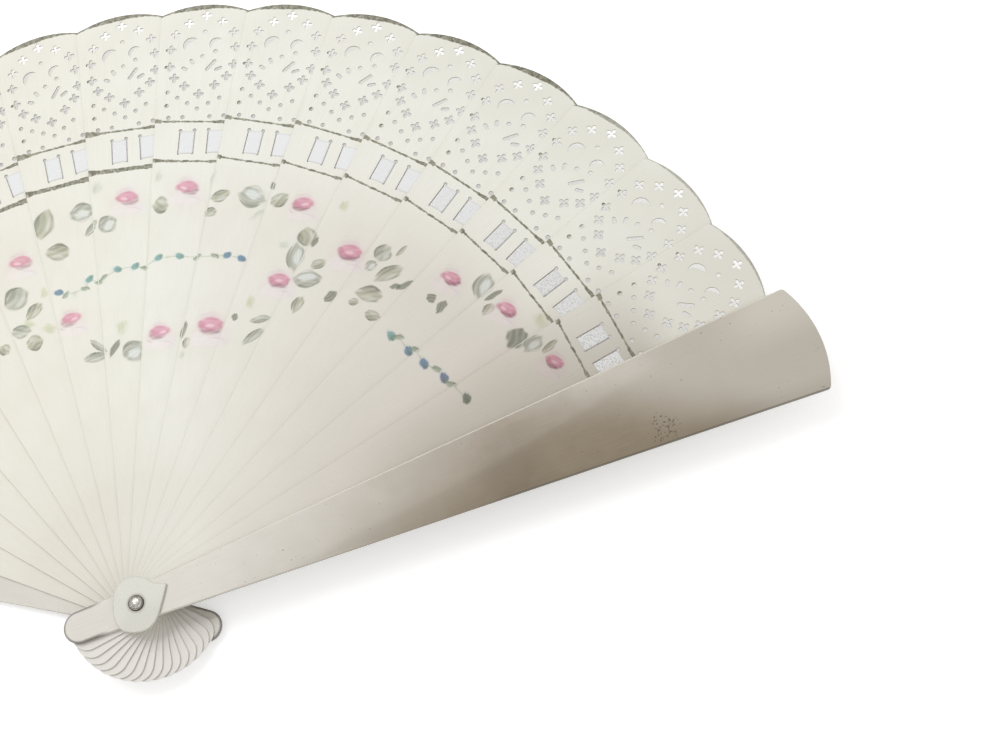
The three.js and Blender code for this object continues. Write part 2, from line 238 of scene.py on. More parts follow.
# Camera, floor and light
CAMERA_AZIMUTH, CAMERA_ELEVATION, CAMERA_ROLL = 16.73, 67.97, -20.76
CAMERA_DISTANCE = 418.6
CAMERA_TARGET = (91.25, 56.91, 0.0)
CAMERA_LENS = 57.95
SENSOR_WIDTH = 36.0
CLIP_RANGE = 0.01, 20.0  # metres
FLOOR_SIZE = 6000.0
FLOOR_DROP = 0.02
FLOOR_COLOR = (0.95, 0.95, 0.95)
FLOOR_GLOW = 0.4  # added to the floor where it is seen, so that it shows as white
WORLD_LIGHT = 0.56
# Name, place, size and power in watts of each lamp
LAMPS = ("key", (-350, 500, 900), 700, 3.7), ("fill", (700, -200, 700), 900, 1.2)
LAMP_AIM = (0, 90, 0)

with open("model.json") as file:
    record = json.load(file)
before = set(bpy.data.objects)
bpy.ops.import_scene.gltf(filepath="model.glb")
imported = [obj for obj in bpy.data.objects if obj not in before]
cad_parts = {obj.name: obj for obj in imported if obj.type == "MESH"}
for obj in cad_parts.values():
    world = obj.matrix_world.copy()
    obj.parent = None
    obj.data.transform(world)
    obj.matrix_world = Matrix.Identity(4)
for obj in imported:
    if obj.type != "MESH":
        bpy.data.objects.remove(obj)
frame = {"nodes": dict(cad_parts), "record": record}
cad_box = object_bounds()

BLADE_NAMES = ["front_guard"] + sorted(n for n in frame["nodes"] if n.startswith("blade_")) + ["back_guard"]
LAST_BLADE = len(BLADE_NAMES) - 1
FRONT_ANGLE = 90 - BLADE_SPACING * LAST_BLADE / 2


def blade_angle(index):
    return FRONT_ANGLE + BLADE_SPACING * index


def linear(*color):
    """A colour of 0 to 255 in the linear units that shaders take"""
    shares = [value / 255 for value in color]
    return tuple(((c + 0.055) / 1.055) ** 2.4 if c > 0.04045 else c / 12.92 for c in shares)


# Colours, as they show in plain light

IVORY = linear(238, 236, 226)
IVORY_LIGHT, IVORY_DARK = linear(241, 240, 229), linear(237, 235, 223)
WARM_IVORY = linear(225, 215, 185)
# Ivory with browning and painted shade, towards the front guard and the pivot
BROWNED_AND_SHADED_IVORY = linear(206, 198, 186)
# Stained and in painted shade beside the front guard
STAINED_AND_SHADED_IVORY = linear(150, 139, 120)
ROSY_TAIL = linear(226, 219, 216)
IVORY_STREAK = linear(216, 210, 194)
# Painted shade on the walls of the pierced holes
HOLE_WALL_SHADE = linear(144, 126, 104)
GILT_DARK, GILT_LIGHT = linear(88, 86, 68), linear(132, 129, 110)

GUARD_IVORY = linear(208, 204, 192)
GUARD_LIGHT, GUARD_GREY = linear(215, 210, 199), linear(192, 184, 171)
# Brown band, partly stained and partly painted dark reflection, and a painted dark reflection in it
GUARD_BROWN_AND_REFLECTION, GUARD_DARK_REFLECTION = linear(135, 119, 93), linear(104, 88, 62)
GUARD_STREAK = linear(172, 160, 142)
# Painted pale reflection near the tip
GUARD_PALE_REFLECTION = linear(222, 216, 203)
GUARD_SHADE = linear(108, 94, 74)
# Painted highlight along the left edge
GUARD_EDGE_HIGHLIGHT = linear(232, 226, 212)
# Painted shadow along the right edge
GUARD_EDGE_SHADOW = linear(84, 76, 62)
# Painted shade round the tail's edge
GUARD_TAIL_SHADE = linear(88, 80, 68)
GUARD_SPECK = linear(92, 72, 56)

PLATE_IVORY = linear(224, 221, 209)
PLATE_LIGHT, PLATE_DARK = linear(220, 219, 208), linear(212, 210, 198)
PLATE_RIVET_RING = linear(150, 138, 116)
SILK = linear(238, 240, 245)
SILK_LOW, SILK_HIGH = linear(238, 239, 240), linear(252, 252, 252)
# Dull silk, partly ageing and partly painted shade, and the colour of its edges
SILK_DULL_AND_SHADED, SILK_EDGE = linear(186, 184, 176), linear(214, 214, 214)
STEEL = linear(168, 166, 160)
STEEL_LIGHT, STEEL_DARK = linear(190, 188, 182), linear(140, 136, 128)
STEEL_RIM_REFLECTION = linear(70, 66, 60)

PINK = linear(233, 172, 190)
DEEP_ROSE = linear(158, 88, 112)
SIDE_ROSE = linear(203, 124, 150)
ROSE_LIGHT = linear(253, 216, 225)
DUSTY_ROSE = linear(224, 200, 204)
BLUSH = linear(244, 216, 223)
LILAC_WHITE = linear(242, 235, 241)
PETAL_WHITE = linear(250, 243, 244)
TONES = {
    "mist": linear(236, 241, 237),
    "grey": linear(160, 165, 146),
    "olive": linear(158, 159, 124),
    "dark": linear(94, 100, 74),
    "yellow": linear(200, 208, 156),
    "pale": linear(206, 213, 198),
    "outline": linear(146, 151, 134),
    "leaf": linear(130, 156, 118),
    "blue": linear(58, 118, 164),
    "teal": linear(104, 164, 162),
    "violet": linear(70, 98, 152),
}


# Outlines


def arc(centre, radius, start, end, steps):
    """Points of an arc between two angles, both ends included"""
    angles = np.radians(np.linspace(start, end, steps + 1))
    return np.stack([centre[0] + radius * np.cos(angles), centre[1] + radius * np.sin(angles)], axis=1)


def circle(radius, sides):
    return arc((0, 0), radius, 0, 360, sides)[:-1]


def placed(points, x, y, turn=0):
    """Points turned about the origin and then moved"""
    c, s = math.cos(math.radians(turn)), math.sin(math.radians(turn))
    return np.asarray(points) @ np.array([[c, s], [-s, c]]) + (x, y)


def bend(start, corner, end, steps=CORNER_STEPS):
    """A curve from start to end that is pulled towards the corner"""
    t = np.linspace(0, 1, steps + 1)[:, None]
    return (1 - t) ** 2 * np.array(start) + 2 * t * (1 - t) * np.array(corner) + t**2 * np.array(end)


def half_width(x, taper=TAPER):
    return PIVOT_HALF_WIDTH + taper * x


def tip_circle(reach, rise, taper=TAPER):
    """Centre distance and radius of the arc that ends a blade"""
    half = half_width(reach, taper)
    radius = (half**2 + rise**2) / (2 * rise)
    return reach + rise - radius, radius


def blade_outline(reach, rise, corner, taper=TAPER, tail_reach=TAIL_REACH):
    centre, radius = tip_circle(reach, rise, taper)
    swing = math.degrees(math.asin(half_width(reach, taper) / radius) - corner / radius)
    tip = arc((centre, 0), radius, -swing, swing, TIP_STEPS)
    tail = arc((TAIL_HALF_WIDTH - tail_reach, 0), TAIL_HALF_WIDTH, 90, 270, TAIL_STEPS)
    before = reach - corner
    left_corner = bend(tip[-1], (reach, half_width(reach, taper)), (before, half_width(before, taper)))[1:]
    right_corner = (left_corner * (1, -1))[::-1]
    side = [(0, PIVOT_HALF_WIDTH)]
    return np.concatenate([tip, left_corner, side, tail, np.array(side) * (1, -1), right_corner])


def slot(length, width):
    """A slit with round ends, along x"""
    run = (length - width) / 2
    outer_end = arc((run, 0), width / 2, -90, 90, SLIT_STEPS)
    inner_end = arc((-run, 0), width / 2, 90, 270, SLIT_STEPS)
    return np.concatenate([outer_end, inner_end])


def keyhole(length, width, radius):
    """A slit along x with a round hole over its outer end"""
    neck = math.degrees(math.asin(width / 2 / radius))
    head = arc((length / 2, 0), radius, neck - 180, 180 - neck, PIN_STEPS)
    foot = arc(((width - length) / 2, 0), width / 2, 90, 270, SLIT_STEPS)
    return np.concatenate([head, foot])


def cross():
    """A small flower of four petals, two of them along the blade"""
    angles = np.linspace(0, 2 * math.pi, CROSS_STEPS, endpoint=False)
    radius = CROSS_CORE + CROSS_PETAL * np.abs(np.cos(2 * angles))
    return np.stack([radius * np.cos(angles), radius * np.sin(angles)], axis=1)


def crescent(radius):
    """A moon whose outer curve faces along x"""
    outer = arc((0, 0), radius, -90, 90, CRESCENT_STEPS)
    return np.concatenate([outer, (outer[1:-1] * (CRESCENT_HOLLOW, 1))[::-1]])


def pierced_dots():
    """Places of the round holes"""
    places = [VEE_POINT, *UPPER_DOTS, *LOW_DOTS]
    for dx, dy, count in VEE_ARMS:
        places += [(VEE_POINT[0] + dx * k, VEE_POINT[1] + dy * k) for k in range(1, count + 1)]
    return places


def blade_holes():
    slit = keyhole(RIBBON_WIDTH + 2 * SLIT_END_ROOM, SLIT_WIDTH, PIN_RADIUS)
    holes = [circle(BORE_RADIUS, BORE_SIDES)] + [placed(slit, RIBBON_CENTRE, y) for y in SLIT_OFFSETS]
    for along, across in CROSSES:
        x, y = RING_CENTRE + RING_RADII[0] * along, RING_RADII[1] * across
        holes += [placed(cross(), x, side) for side in sorted({y, -y})]
    holes += [placed(crescent(radius), CRESCENT_X, y, CRESCENT_TURN) for y, radius in CRESCENTS]
    for degrees, inner, outer in RAYS:
        ray = slot(outer - inner, RAY_WIDTH) + ((inner + outer) / 2, 0)
        holes.append(placed(ray, RAY_CENTRE, 0, degrees))
    holes += [placed(circle(DOT_RADIUS, DOT_SIDES), BLADE_REACH + x, y) for x, y in pierced_dots()]
    return holes


# Solids


def inset(ring, distance):
    """A ring moved towards its left side, where the material is"""
    def left(direction):
        unit = direction / np.linalg.norm(direction, axis=1, keepdims=True)
        return np.stack([-unit[:, 1], unit[:, 0]], axis=1)

    before = left(ring - np.roll(ring, 1, axis=0))
    after = left(np.roll(ring, -1, axis=0) - ring)
    share = np.maximum(1 + np.sum(before * after, axis=1, keepdims=True), MITRE_LIMIT)
    return ring + distance * (before + after) / share


def signed_area(ring):
    x, y = ring.T
    return 0.5 * np.sum(x * np.roll(y, -1) - np.roll(x, -1) * y)


def inside(points, ring):
    """Which points lie in a ring"""
    found = np.zeros(len(points), bool)
    for (x0, y0), (x1, y1) in zip(ring, np.roll(ring, -1, axis=0)):
        if y0 != y1:
            crossing = (points[:, 1] > min(y0, y1)) & (points[:, 1] <= max(y0, y1))
            found ^= crossing & (points[:, 0] < x0 + (x1 - x0) * (points[:, 1] - y0) / (y1 - y0))
    return found


def clearance(points, ring):
    """Distance of each point from a ring"""
    least = np.full(len(points), np.inf)
    for start, end in zip(ring, np.roll(ring, -1, axis=0)):
        run = end - start
        t = np.clip(((points - start) @ run) / max(run @ run, WELD_DISTANCE**2), 0, 1)
        least = np.minimum(least, np.linalg.norm(points - start - t[:, None] * run, axis=1))
    return least


def free_points(points, rings, room):
    """The points that lie in the sheet, with room between them and its rims"""
    outline, *holes = rings
    points = points[inside(points, outline)]
    points = points[clearance(points, outline) > room]
    for hole in holes:
        reach = np.abs(hole - hole.mean(axis=0)).max() + room
        near = np.abs(points - hole.mean(axis=0)).max(axis=1) < reach
        blocked = np.zeros(len(points), bool)
        blocked[near] = inside(points[near], hole) | (clearance(points[near], hole) < room)
        points = points[~blocked]
    return points


def grid(x_range, y_range, step):
    """Staggered points that fill a rectangle"""
    rows = np.arange(*x_range, step * math.sqrt(3) / 2)
    points = [(x, y + step / 2 * (k % 2)) for k, x in enumerate(rows) for y in np.arange(*y_range, step)]
    return np.array(points)


def triangles(rings, extra):
    """Triangles between the rings and through the extra points, with the holes left open"""
    points = np.concatenate([*rings, extra]) if len(extra) else np.concatenate(rings)
    edges, owner, base = [], np.full(len(points), -1), 0
    for number, ring in enumerate(rings):
        count = len(ring)
        edges += [(base + k, base + (k + 1) % count) for k in range(count)]
        owner[base : base + count] = number
        base += count
    corners = [Vector(point) for point in points]
    _, _, faces, origins, _, _ = delaunay_2d_cdt(corners, edges, [], 1, WELD_DISTANCE)
    faces = np.array([origin[0] for origin in origins])[np.array(faces)]
    owners = owner[faces]
    same = (owners[:, 0] > 0) & (owners[:, 0] == owners[:, 1]) & (owners[:, 0] == owners[:, 2])
    drop = np.zeros(len(faces), bool)
    for number in range(1, len(rings)):
        chosen = np.flatnonzero(same & (owners[:, 0] == number))
        drop[chosen] = inside(points[faces[chosen]].mean(axis=1), rings[number])
    return faces[~drop]


def slab(rings, thickness, bevel, extra=(), swell=None):
    """Vertices and faces of a sheet with bevelled rims, and which vertices lie on its face and in its holes

    The first ring is the outline and the others are holes.
    """
    rings = [ring if (signed_area(ring) > 0) == (k == 0) else ring[::-1] for k, ring in enumerate(rings)]
    inner = [inset(ring, bevel) for ring in rings]
    rim, face = np.concatenate(rings), np.concatenate(inner)
    extra = np.reshape(extra, (-1, 2))
    count = len(rim)

    def level(points, z):
        return np.column_stack([points, np.full(len(points), z)])

    vertices = np.concatenate([
        level(face, thickness), level(rim, thickness - bevel), level(rim, bevel), level(face, 0),
        level(extra, thickness),
    ])
    top = np.r_[0:count, 4 * count : len(vertices)]
    walls = np.r_[count + len(rings[0]) : 2 * count, 2 * count + len(rings[0]) : 3 * count]
    if swell:
        vertices[top, 2] += swell(vertices[top, 0], vertices[top, 1])
    faces = top[triangles(inner, extra)].tolist()
    faces += (3 * count + triangles(inner, [])[:, ::-1]).tolist()
    base = 0
    for ring in rings:
        here = base + np.arange(len(ring))
        after = np.roll(here, -1)
        for upper in (0, count, 2 * count):
            lower = upper + count
            faces += np.column_stack([lower + here, lower + after, upper + after, upper + here]).tolist()
        base += len(ring)
    return vertices, faces, top, walls


def turn_over(vertices, faces, thickness):
    """A sheet's mirror image in its middle plane, with its face looking down"""
    return vertices * (1, 1, -1) + (0, 0, thickness), [face[::-1] for face in faces]


def body_of_node(node):
    return next(body for body, names in frame["record"]["behaviour"]["bodies"].items() if node in names)


def underside(node):
    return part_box(node)[0].z


def add_piece(name, vertices, faces, material, slot_name, angle=0.0, height=0.0, smooth=None):
    """One object of the scene, which stands for the solid of its name and rides on its body"""
    body = body_of_node(name)
    mesh = bpy.data.meshes.new(name)
    mesh.from_pydata((np.asarray(vertices) * MM).tolist(), [], faces)
    mesh.materials.append(material)
    mesh.validate()
    if smooth is not None:
        mesh.shade_smooth()
        mesh.set_sharp_from_angle(angle=math.radians(smooth))
    piece = bpy.data.objects.new(name + "_look", mesh)
    bpy.context.scene.collection.objects.link(piece)
    piece.matrix_world = Matrix.Translation((0, 0, height)) @ Matrix.Rotation(math.radians(angle), 4, "Z")
    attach(piece, body)
    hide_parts(name)
    return piece


def set_attribute(piece, name, kind, values):
    attribute = piece.data.attributes.new(name, kind, "POINT")
    field = {"FLOAT": "value", "FLOAT_VECTOR": "vector", "FLOAT_COLOR": "color"}[kind]
    attribute.data.foreach_set(field, np.ascontiguousarray(values, np.float32).ravel())


# Painting


def spot(distance, angle):
    return distance * math.cos(math.radians(angle)), distance * math.sin(math.radians(angle))


def touch(x, y, heading, length, width, tone, strength=1.0, bow=0.0, pointed=0.0, soft=0.4):
    """One touch of the brush, in the open fan. bow is how far its middle stands off to its left"""
    return x, y, heading, length, width, tone, strength, bow, pointed, soft


def rose(x, y, up, size, depth):
    """Pale petals round a soft pink bowl with a dark lower rim

    up is the side that the bowl opens to. Places and sizes of the petals are shares of size.
    """
    def petal(along, across, turn, length, width, tone, strength, bow=0.0, soft=0.9):
        dx, dy = placed([(along * size, across * size)], 0, 0, up)[0]
        sizes = length * size, width * size
        return touch(x + dx, y + dy, up + turn, *sizes, tone, strength, bow * size, 0.0, soft)

    lean = ROSE_LEAN * math.sin(x + 2 * y)
    return [
        petal(-0.4, 0.0, 90, 3.9, 3.4, BLUSH, 0.5),
        petal(-1.0, -0.8, 60, 2.0, 1.3, LILAC_WHITE, 0.65),
        petal(-1.0, 0.8, -60, 2.0, 1.3, PETAL_WHITE, 0.65),
        petal(-1.25, 0.0, 90, 2.2, 1.1, PETAL_WHITE, 0.65),
        petal(0.85, -0.5, 65, 1.7, 0.8, PETAL_WHITE, 0.4),
        petal(0.55, 0.1, 90, 2.1, 1.2, DUSTY_ROSE, 0.55),
        petal(-1.25, -0.55, 75, 1.8, 0.16, DUSTY_ROSE, 0.5, bow=-0.3),
        petal(0.9, 0.3, 95, 2.2, 0.14, SIDE_ROSE, 0.2 * depth, bow=-0.25),
        petal(-0.17, lean, 90 + 40 * lean, 1.95, 1.3, DEEP_ROSE, 0.7 * depth, soft=0.6),
        petal(0.09, 0.0, 90, 2.1, 1.15, PINK, 0.97, soft=0.6),
        petal(-0.16, 0.1, 90, 1.35, 0.6, SIDE_ROSE, 0.4 * depth),
        petal(0.0, 0.7, 72, 0.8, 0.7, SIDE_ROSE, 0.5 * depth),
        petal(0.0, -0.72, 108, 0.7, 0.6, SIDE_ROSE, 0.4 * depth),
        petal(0.32, 0.6 * lean, 84, 1.3, 0.24, SIDE_ROSE, 0.45 * depth, bow=-0.12),
        petal(-0.06, -lean, 90 + 60 * lean, 0.85, 0.36, ROSE_LIGHT, 0.85),
        petal(-0.3, 1.2 * lean, 84, 0.9, 0.2, DEEP_ROSE, 0.4 * depth, bow=0.1),
        petal(-0.72, 0.9, 52, 0.8, 0.2, DEEP_ROSE, max(0, 1.6 * lean) * depth, bow=0.08),
    ]


def leaf(kind, x, y, heading, length, width):
    """A leaf of a few touches: pale ones with a darker rim, or full ones with a light and a dark side"""
    length, width = length * LEAF_FULLNESS[0], width * LEAF_FULLNESS[1]

    def part(across, share_length, share_width, tone, strength, bow=0.0, soft=0.5):
        dx, dy = placed([(0, across * width)], 0, 0, heading)[0]
        size = length * share_length, width * share_width
        return touch(x + dx, y + dy, heading, *size, TONES[tone], strength, bow * width, LEAF_POINT, soft)

    if kind == "outline":
        return [
            part(0, 1, 1, "outline", 0.77),
            part(0.1, 0.66, 0.5, "mist", 0.95, soft=0.7),
            part(-0.02, 0.9, 0.16, "dark", 0.7, bow=-0.38),
            part(0.06, 0.7, 0.1, "dark", 0.4, bow=0.4),
        ]
    if kind in ("yellow", "pale"):
        return [part(0, 1, 1, kind, 0.65, soft=0.9), part(-0.12, 0.6, 0.3, "grey", 0.25, soft=0.9)]
    if kind == "dark":
        return [part(0, 1, 1, "dark", 0.85), part(0.15, 0.6, 0.3, "grey", 0.5, soft=0.9)]
    return [
        part(0, 1, 1, kind, 0.72),
        part(-0.2, 0.8, 0.5, "dark", 0.45, soft=0.9),
        part(-0.02, 0.92, 0.16, "dark", 0.75, bow=-0.36),
        part(0.02, 0.8, 0.11, "dark", 0.5, bow=0.36),
        part(0.18, 0.55, 0.24, "mist", 0.5, soft=0.9),
    ]


def bud(tone, x, y, heading, size):
    """A round bud with a dark heart, or a green leaf"""
    dx, dy = placed([(-BUD_HEART, 0)], 0, 0, heading)[0]
    length, width = BUD_LENGTH * size, BUD_WIDTH * size
    heart = 0.35 * size**3
    if tone == "leaf":
        return [
            touch(x, y, heading, length * 1.1, width * 0.85, TONES["leaf"], 0.75, pointed=0.6, soft=0.7),
            touch(x, y, heading, length * 0.8, STROKE_WIDTH, TONES["dark"], 0.6, bow=-0.4),
        ]
    return [
        touch(x - dx, y - dy, heading, length * 1.3, width * 1.2, TONES["teal"], 0.35, soft=0.95),
        touch(x, y, heading, length, width, TONES[tone], 0.9, pointed=0.3, soft=0.6),
        touch(x + dx, y + dy, heading, length * 0.55, width * 0.55, TONES["dark"], heart, soft=0.9),
    ]


def spray(buds, place):
    """Buds along a thin stem. place gives the angle at which a bud is painted"""
    touches, last = [], None
    size = RIGHT_BUDS if buds[0][2] < MIRROR_BELOW else 1.0
    for k, (tone, distance, angle) in enumerate(buds):
        x, y = spot(distance, place(angle))
        if last:
            run = math.dist(last, (x, y))
            heading = math.degrees(math.atan2(y - last[1], x - last[0]))
            middle = (x + last[0]) / 2, (y + last[1]) / 2
            length = run * STEM_LENGTH
            touches.append(touch(*middle, heading, length, STROKE_WIDTH, TONES["leaf"], STEM_STRENGTH))
        last = x, y
        touches += bud(tone, x, y, place(angle) + 90 + BUD_TURNS[k % 2], size)
    return touches


def garland():
    """All touches of the painting, in the order in which they were laid"""
    touches = []
    for mirrored in (False, True):
        def shown(angle):
            return not mirrored or angle < MIRROR_BELOW

        def place(angle):
            return 180 - angle if mirrored else angle

        for buds in SPRAYS:
            if shown(buds[0][2]):
                touches += spray(buds, place)
        for kind, distance, angle, heading, length, width in LEAVES:
            if shown(angle):
                turned_to = place(angle) + (-heading if mirrored else heading)
                touches += leaf(kind, *spot(distance, place(angle)), turned_to, length, width)
        for distance, angle, size in ROSES:
            if shown(angle):
                depth = ROSE_DEEPEST - ROSE_DEPTH_LOSS * smooth_step(angle, *ROSE_DEPTH)
                touches += rose(*spot(distance, place(angle)), (90 + place(angle)) / 2, size, depth)
    return touches


def smooth_step(value, low, high):
    t = np.clip((value - low) / (high - low), 0, 1)
    return t * t * (3 - 2 * t)


def lay(touches, points):
    """Colour and cover of the paint at points of the open fan, and which points are near a touch"""
    colour = np.tile(IVORY, (len(points), 1))
    cover = np.zeros(len(points))
    near = np.zeros(len(points), bool)
    for x, y, heading, length, width, tone, strength, bow, pointed, soft in touches:
        local = placed(points - (x, y), 0, 0, -heading)
        reach = max(length / 2, width / 2 + abs(bow)) + TOUCH_MARGIN
        close = np.flatnonzero((np.abs(local) < reach).all(axis=1))
        if not len(close):
            continue
        u = local[close, 0] / (length / 2)
        v = (local[close, 1] - bow * (1 - u**2)) / (width / 2)
        ragged = 0
        for (height, along, across), shift in zip(RIM_WAVES, (x, y)):
            ragged = ragged + height * np.sin(along * u + across * v + shift)
        round_shape = 1 - u**2 - v**2
        leaf_shape = 1 - u**2 - np.abs(v)
        shape = (1 - pointed) * round_shape + pointed * leaf_shape + ragged * (0.5 + pointed)
        hairs = np.sin(HAIR_RATE * v + HAIR_SWAY * np.sin(HAIR_BEND * u + x) + y)
        amount = strength * (1 + HAIR_DEPTH * (hairs - 1)) * smooth_step(shape, 0.0, soft)
        colour[close] += amount[:, None] * (tone - colour[close])
        cover[close] = np.maximum(cover[close], np.minimum(1, amount * COVER_GAIN))
        near[close] |= shape > TOUCH_NEAR
    return colour, cover, near


def shows(points):
    """Whether points of a blade's own frame are clear of the blade that lies over it in the open fan"""
    above = placed(points, 0, 0, BLADE_SPACING)
    return above[:, 1] > half_width(above[:, 0]) - OVERLAP_MARGIN


# Materials. A range is two values, and what they turn into where that isn't 0 and 1


class Surface:
    """A material whose nodes are added by short calls"""

    def __init__(self, name, color, roughness, **sockets):
        self.material = bpy.data.materials.new(name)
        self.material.use_nodes = True
        self.nodes = self.material.node_tree.nodes
        self.links = self.material.node_tree.links
        self.shader = self.nodes["Principled BSDF"]
        self.shader.inputs["Base Color"].default_value = (*color, 1)
        self.shader.inputs["Roughness"].default_value = roughness
        for socket, value in sockets.items():
            self.shader.inputs[socket.replace("_", " ")].default_value = value
        place = self.add("ShaderNodeTexCoord").outputs["Object"]
        self.place = self.vector("SCALE", place, scale=1 / MM)
        self.x, self.y, self.z = self.split(self.place)

    def add(self, kind, **settings):
        node = self.nodes.new(kind)
        for key, value in settings.items():
            setattr(node, key, value)
        return node

    def put(self, socket, value):
        """Sets or links an input"""
        if isinstance(value, bpy.types.NodeSocket):
            self.links.new(value, socket)
        elif value is not None:
            socket.default_value = (*value, 1) if socket.type == "RGBA" else value

    def math(self, operation, a, b=None, c=None):
        node = self.add("ShaderNodeMath", operation=operation)
        for socket, value in zip(node.inputs, (a, b, c)):
            self.put(socket, value)
        return node.outputs[0]

    def vector(self, operation, a, b=None, scale=None):
        node = self.add("ShaderNodeVectorMath", operation=operation)
        for socket, value in zip(node.inputs, (a, b, None, scale)):
            self.put(socket, value)
        return node.outputs[1 if operation == "LENGTH" else 0]

    def split(self, vector):
        node = self.add("ShaderNodeSeparateXYZ")
        self.put(node.inputs[0], vector)
        return node.outputs

    def join(self, x, y, z=0.0):
        node = self.add("ShaderNodeCombineXYZ")
        for socket, value in zip(node.inputs, (x, y, z)):
            self.put(socket, value)
        return node.outputs[0]

    def noise(self, vector, scale, detail):
        node = self.add("ShaderNodeTexNoise")
        for socket, value in (("Vector", vector), ("Scale", scale), ("Detail", detail)):
            self.put(node.inputs[socket], value)
        return node.outputs["Fac"]

    def stretch(self, value, low, high, to_low=0.0, to_high=1.0, smooth=True):
        """A value's place between low and high, as a value between the last two"""
        node = self.add("ShaderNodeMapRange", interpolation_type="SMOOTHSTEP" if smooth else "LINEAR")
        for socket, item in zip(node.inputs, (value, low, high, to_low, to_high)):
            self.put(socket, item)
        return node.outputs[0]

    def mix(self, share, a, b):
        node = self.add("ShaderNodeMix", data_type="RGBA")
        for socket, value in (("Factor", share), (6, a), (7, b)):
            self.put(node.inputs[socket], value)
        return node.outputs[2]

    def times(self, a, b):
        return self.math("MULTIPLY", a, b)

    def less(self, a, b):
        return self.math("SUBTRACT", a, b)

    def scaled(self, value, factor, shift):
        return self.math("MULTIPLY_ADD", value, factor, shift)

    def length(self, x, y):
        return self.vector("LENGTH", self.join(x, y))

    def mix_value(self, share, a, b):
        return self.scaled(share, self.less(b, a), a)

    def attribute(self, name, output):
        return self.add("ShaderNodeAttribute", attribute_name=name).outputs[output]

    def color(self, value):
        self.put(self.shader.inputs["Base Color"], value)

    def roughness(self, value):
        self.put(self.shader.inputs["Roughness"], value)

    def metal(self, value):
        self.put(self.shader.inputs["Metallic"], value)

    def bump(self, height, distance):
        node = self.add("ShaderNodeBump")
        node.inputs["Distance"].default_value = distance * MM
        self.put(node.inputs["Height"], height)
        self.put(self.shader.inputs["Normal"], node.outputs[0])


NOISE_MEAN = 0.5
GRAIN_STRETCH = 0.05
GRAIN_NOISE = 2.6, 4  # scale and detail
CLOUD_NOISE = 0.05, 2


def celluloid_grain(s):
    """Fine parallel streaks along the sheet, and a slow cloudiness"""
    drawn = s.join(s.times(s.x, GRAIN_STRETCH), s.y, s.z)
    return s.noise(drawn, *GRAIN_NOISE), s.noise(s.place, *CLOUD_NOISE)


def gilt_lines(s, wobble, on_left):
    """Where the two dull lines beside the ribbon lie, each with a thick left end"""
    masks = []
    for place, thick in zip(LINE_PLACES, LINE_THICKNESS):
        middle = s.scaled(s.less(s.y, VISIBLE_LEFT), LINE_SLANT, place)
        away = s.math("ABSOLUTE", s.less(s.x, middle))
        away = s.scaled(s.less(wobble, NOISE_MEAN), LINE_WOBBLE, away)
        half = s.scaled(on_left, thick[1] - thick[0], thick[0])
        wedge = s.times(on_left, s.stretch(s.y, *LINE_WEDGE))
        swelling = s.math("MAXIMUM", wedge, s.stretch(s.y, *LINE_BLOCK))
        half = s.math("MAXIMUM", half, swelling)
        half = s.math("ADD", half, s.stretch(s.y, *LINE_RIGHT_END))
        masks.append(s.stretch(s.less(away, half), LINE_SOFTNESS, -LINE_SOFTNESS))
    return s.math("MAXIMUM", *masks)


def gilt_rim(s, wobble, on_right):
    """Where the gilding of the scalloped end lies, widest left of its middle"""
    centre, radius = tip_circle(BLADE_REACH, BLADE_SCALLOP_RISE)
    from_rim = s.less(radius, s.length(s.less(s.x, centre), s.y))
    sides = [s.stretch(s.y, side, RIM_MIDDLE, *RIM_WIDTHS) for side in (RIM_SIDE, -RIM_SIDE)]
    width = s.times(s.math("MINIMUM", *sides), s.scaled(on_right, RIGHT_RIM_WIDTH, 1.0))
    width = s.scaled(s.less(wobble, NOISE_MEAN), RIM_WOBBLE, width)
    gilded = s.stretch(s.less(from_rim, width), RIM_SOFTNESS, -RIM_SOFTNESS)
    return s.times(gilded, s.math("GREATER_THAN", s.x, RIM_START))


# Ageing of the blades and painted shade on them, by the angle in the open fan and by the distance from the
# pivot
WARM_ANGLES = 88, 112, 0.0, 0.17
BROWN_AND_SHADE_ANGLES, BROWN_AND_SHADE_OUTWARD = (90, 28), (10, 70, 0.45, 1.0)
TIP_ANGLES, TIP_OUTWARD = (38, 24, 0.0, 0.3), (104, 146)
BROWN_AND_SHADE_INWARD = 75, 10, 0.0, 0.32
BROWN_AND_SHADE_UNCOVERED = -6, 2  # places along the blade
STAIN_AND_SHADE_ANGLES = 35, 24, 0.0, 0.5
STAIN_AND_SHADE_START, STAIN_AND_SHADE_END = (56, 84), (154, 138)
ROSY_TAILS = 2, -8, 0.0, 0.5  # places along the blade
CLOUD_RANGE = 0.35, 0.65
STREAK_RANGE = 0.4, 0.75, 0.0, 0.08


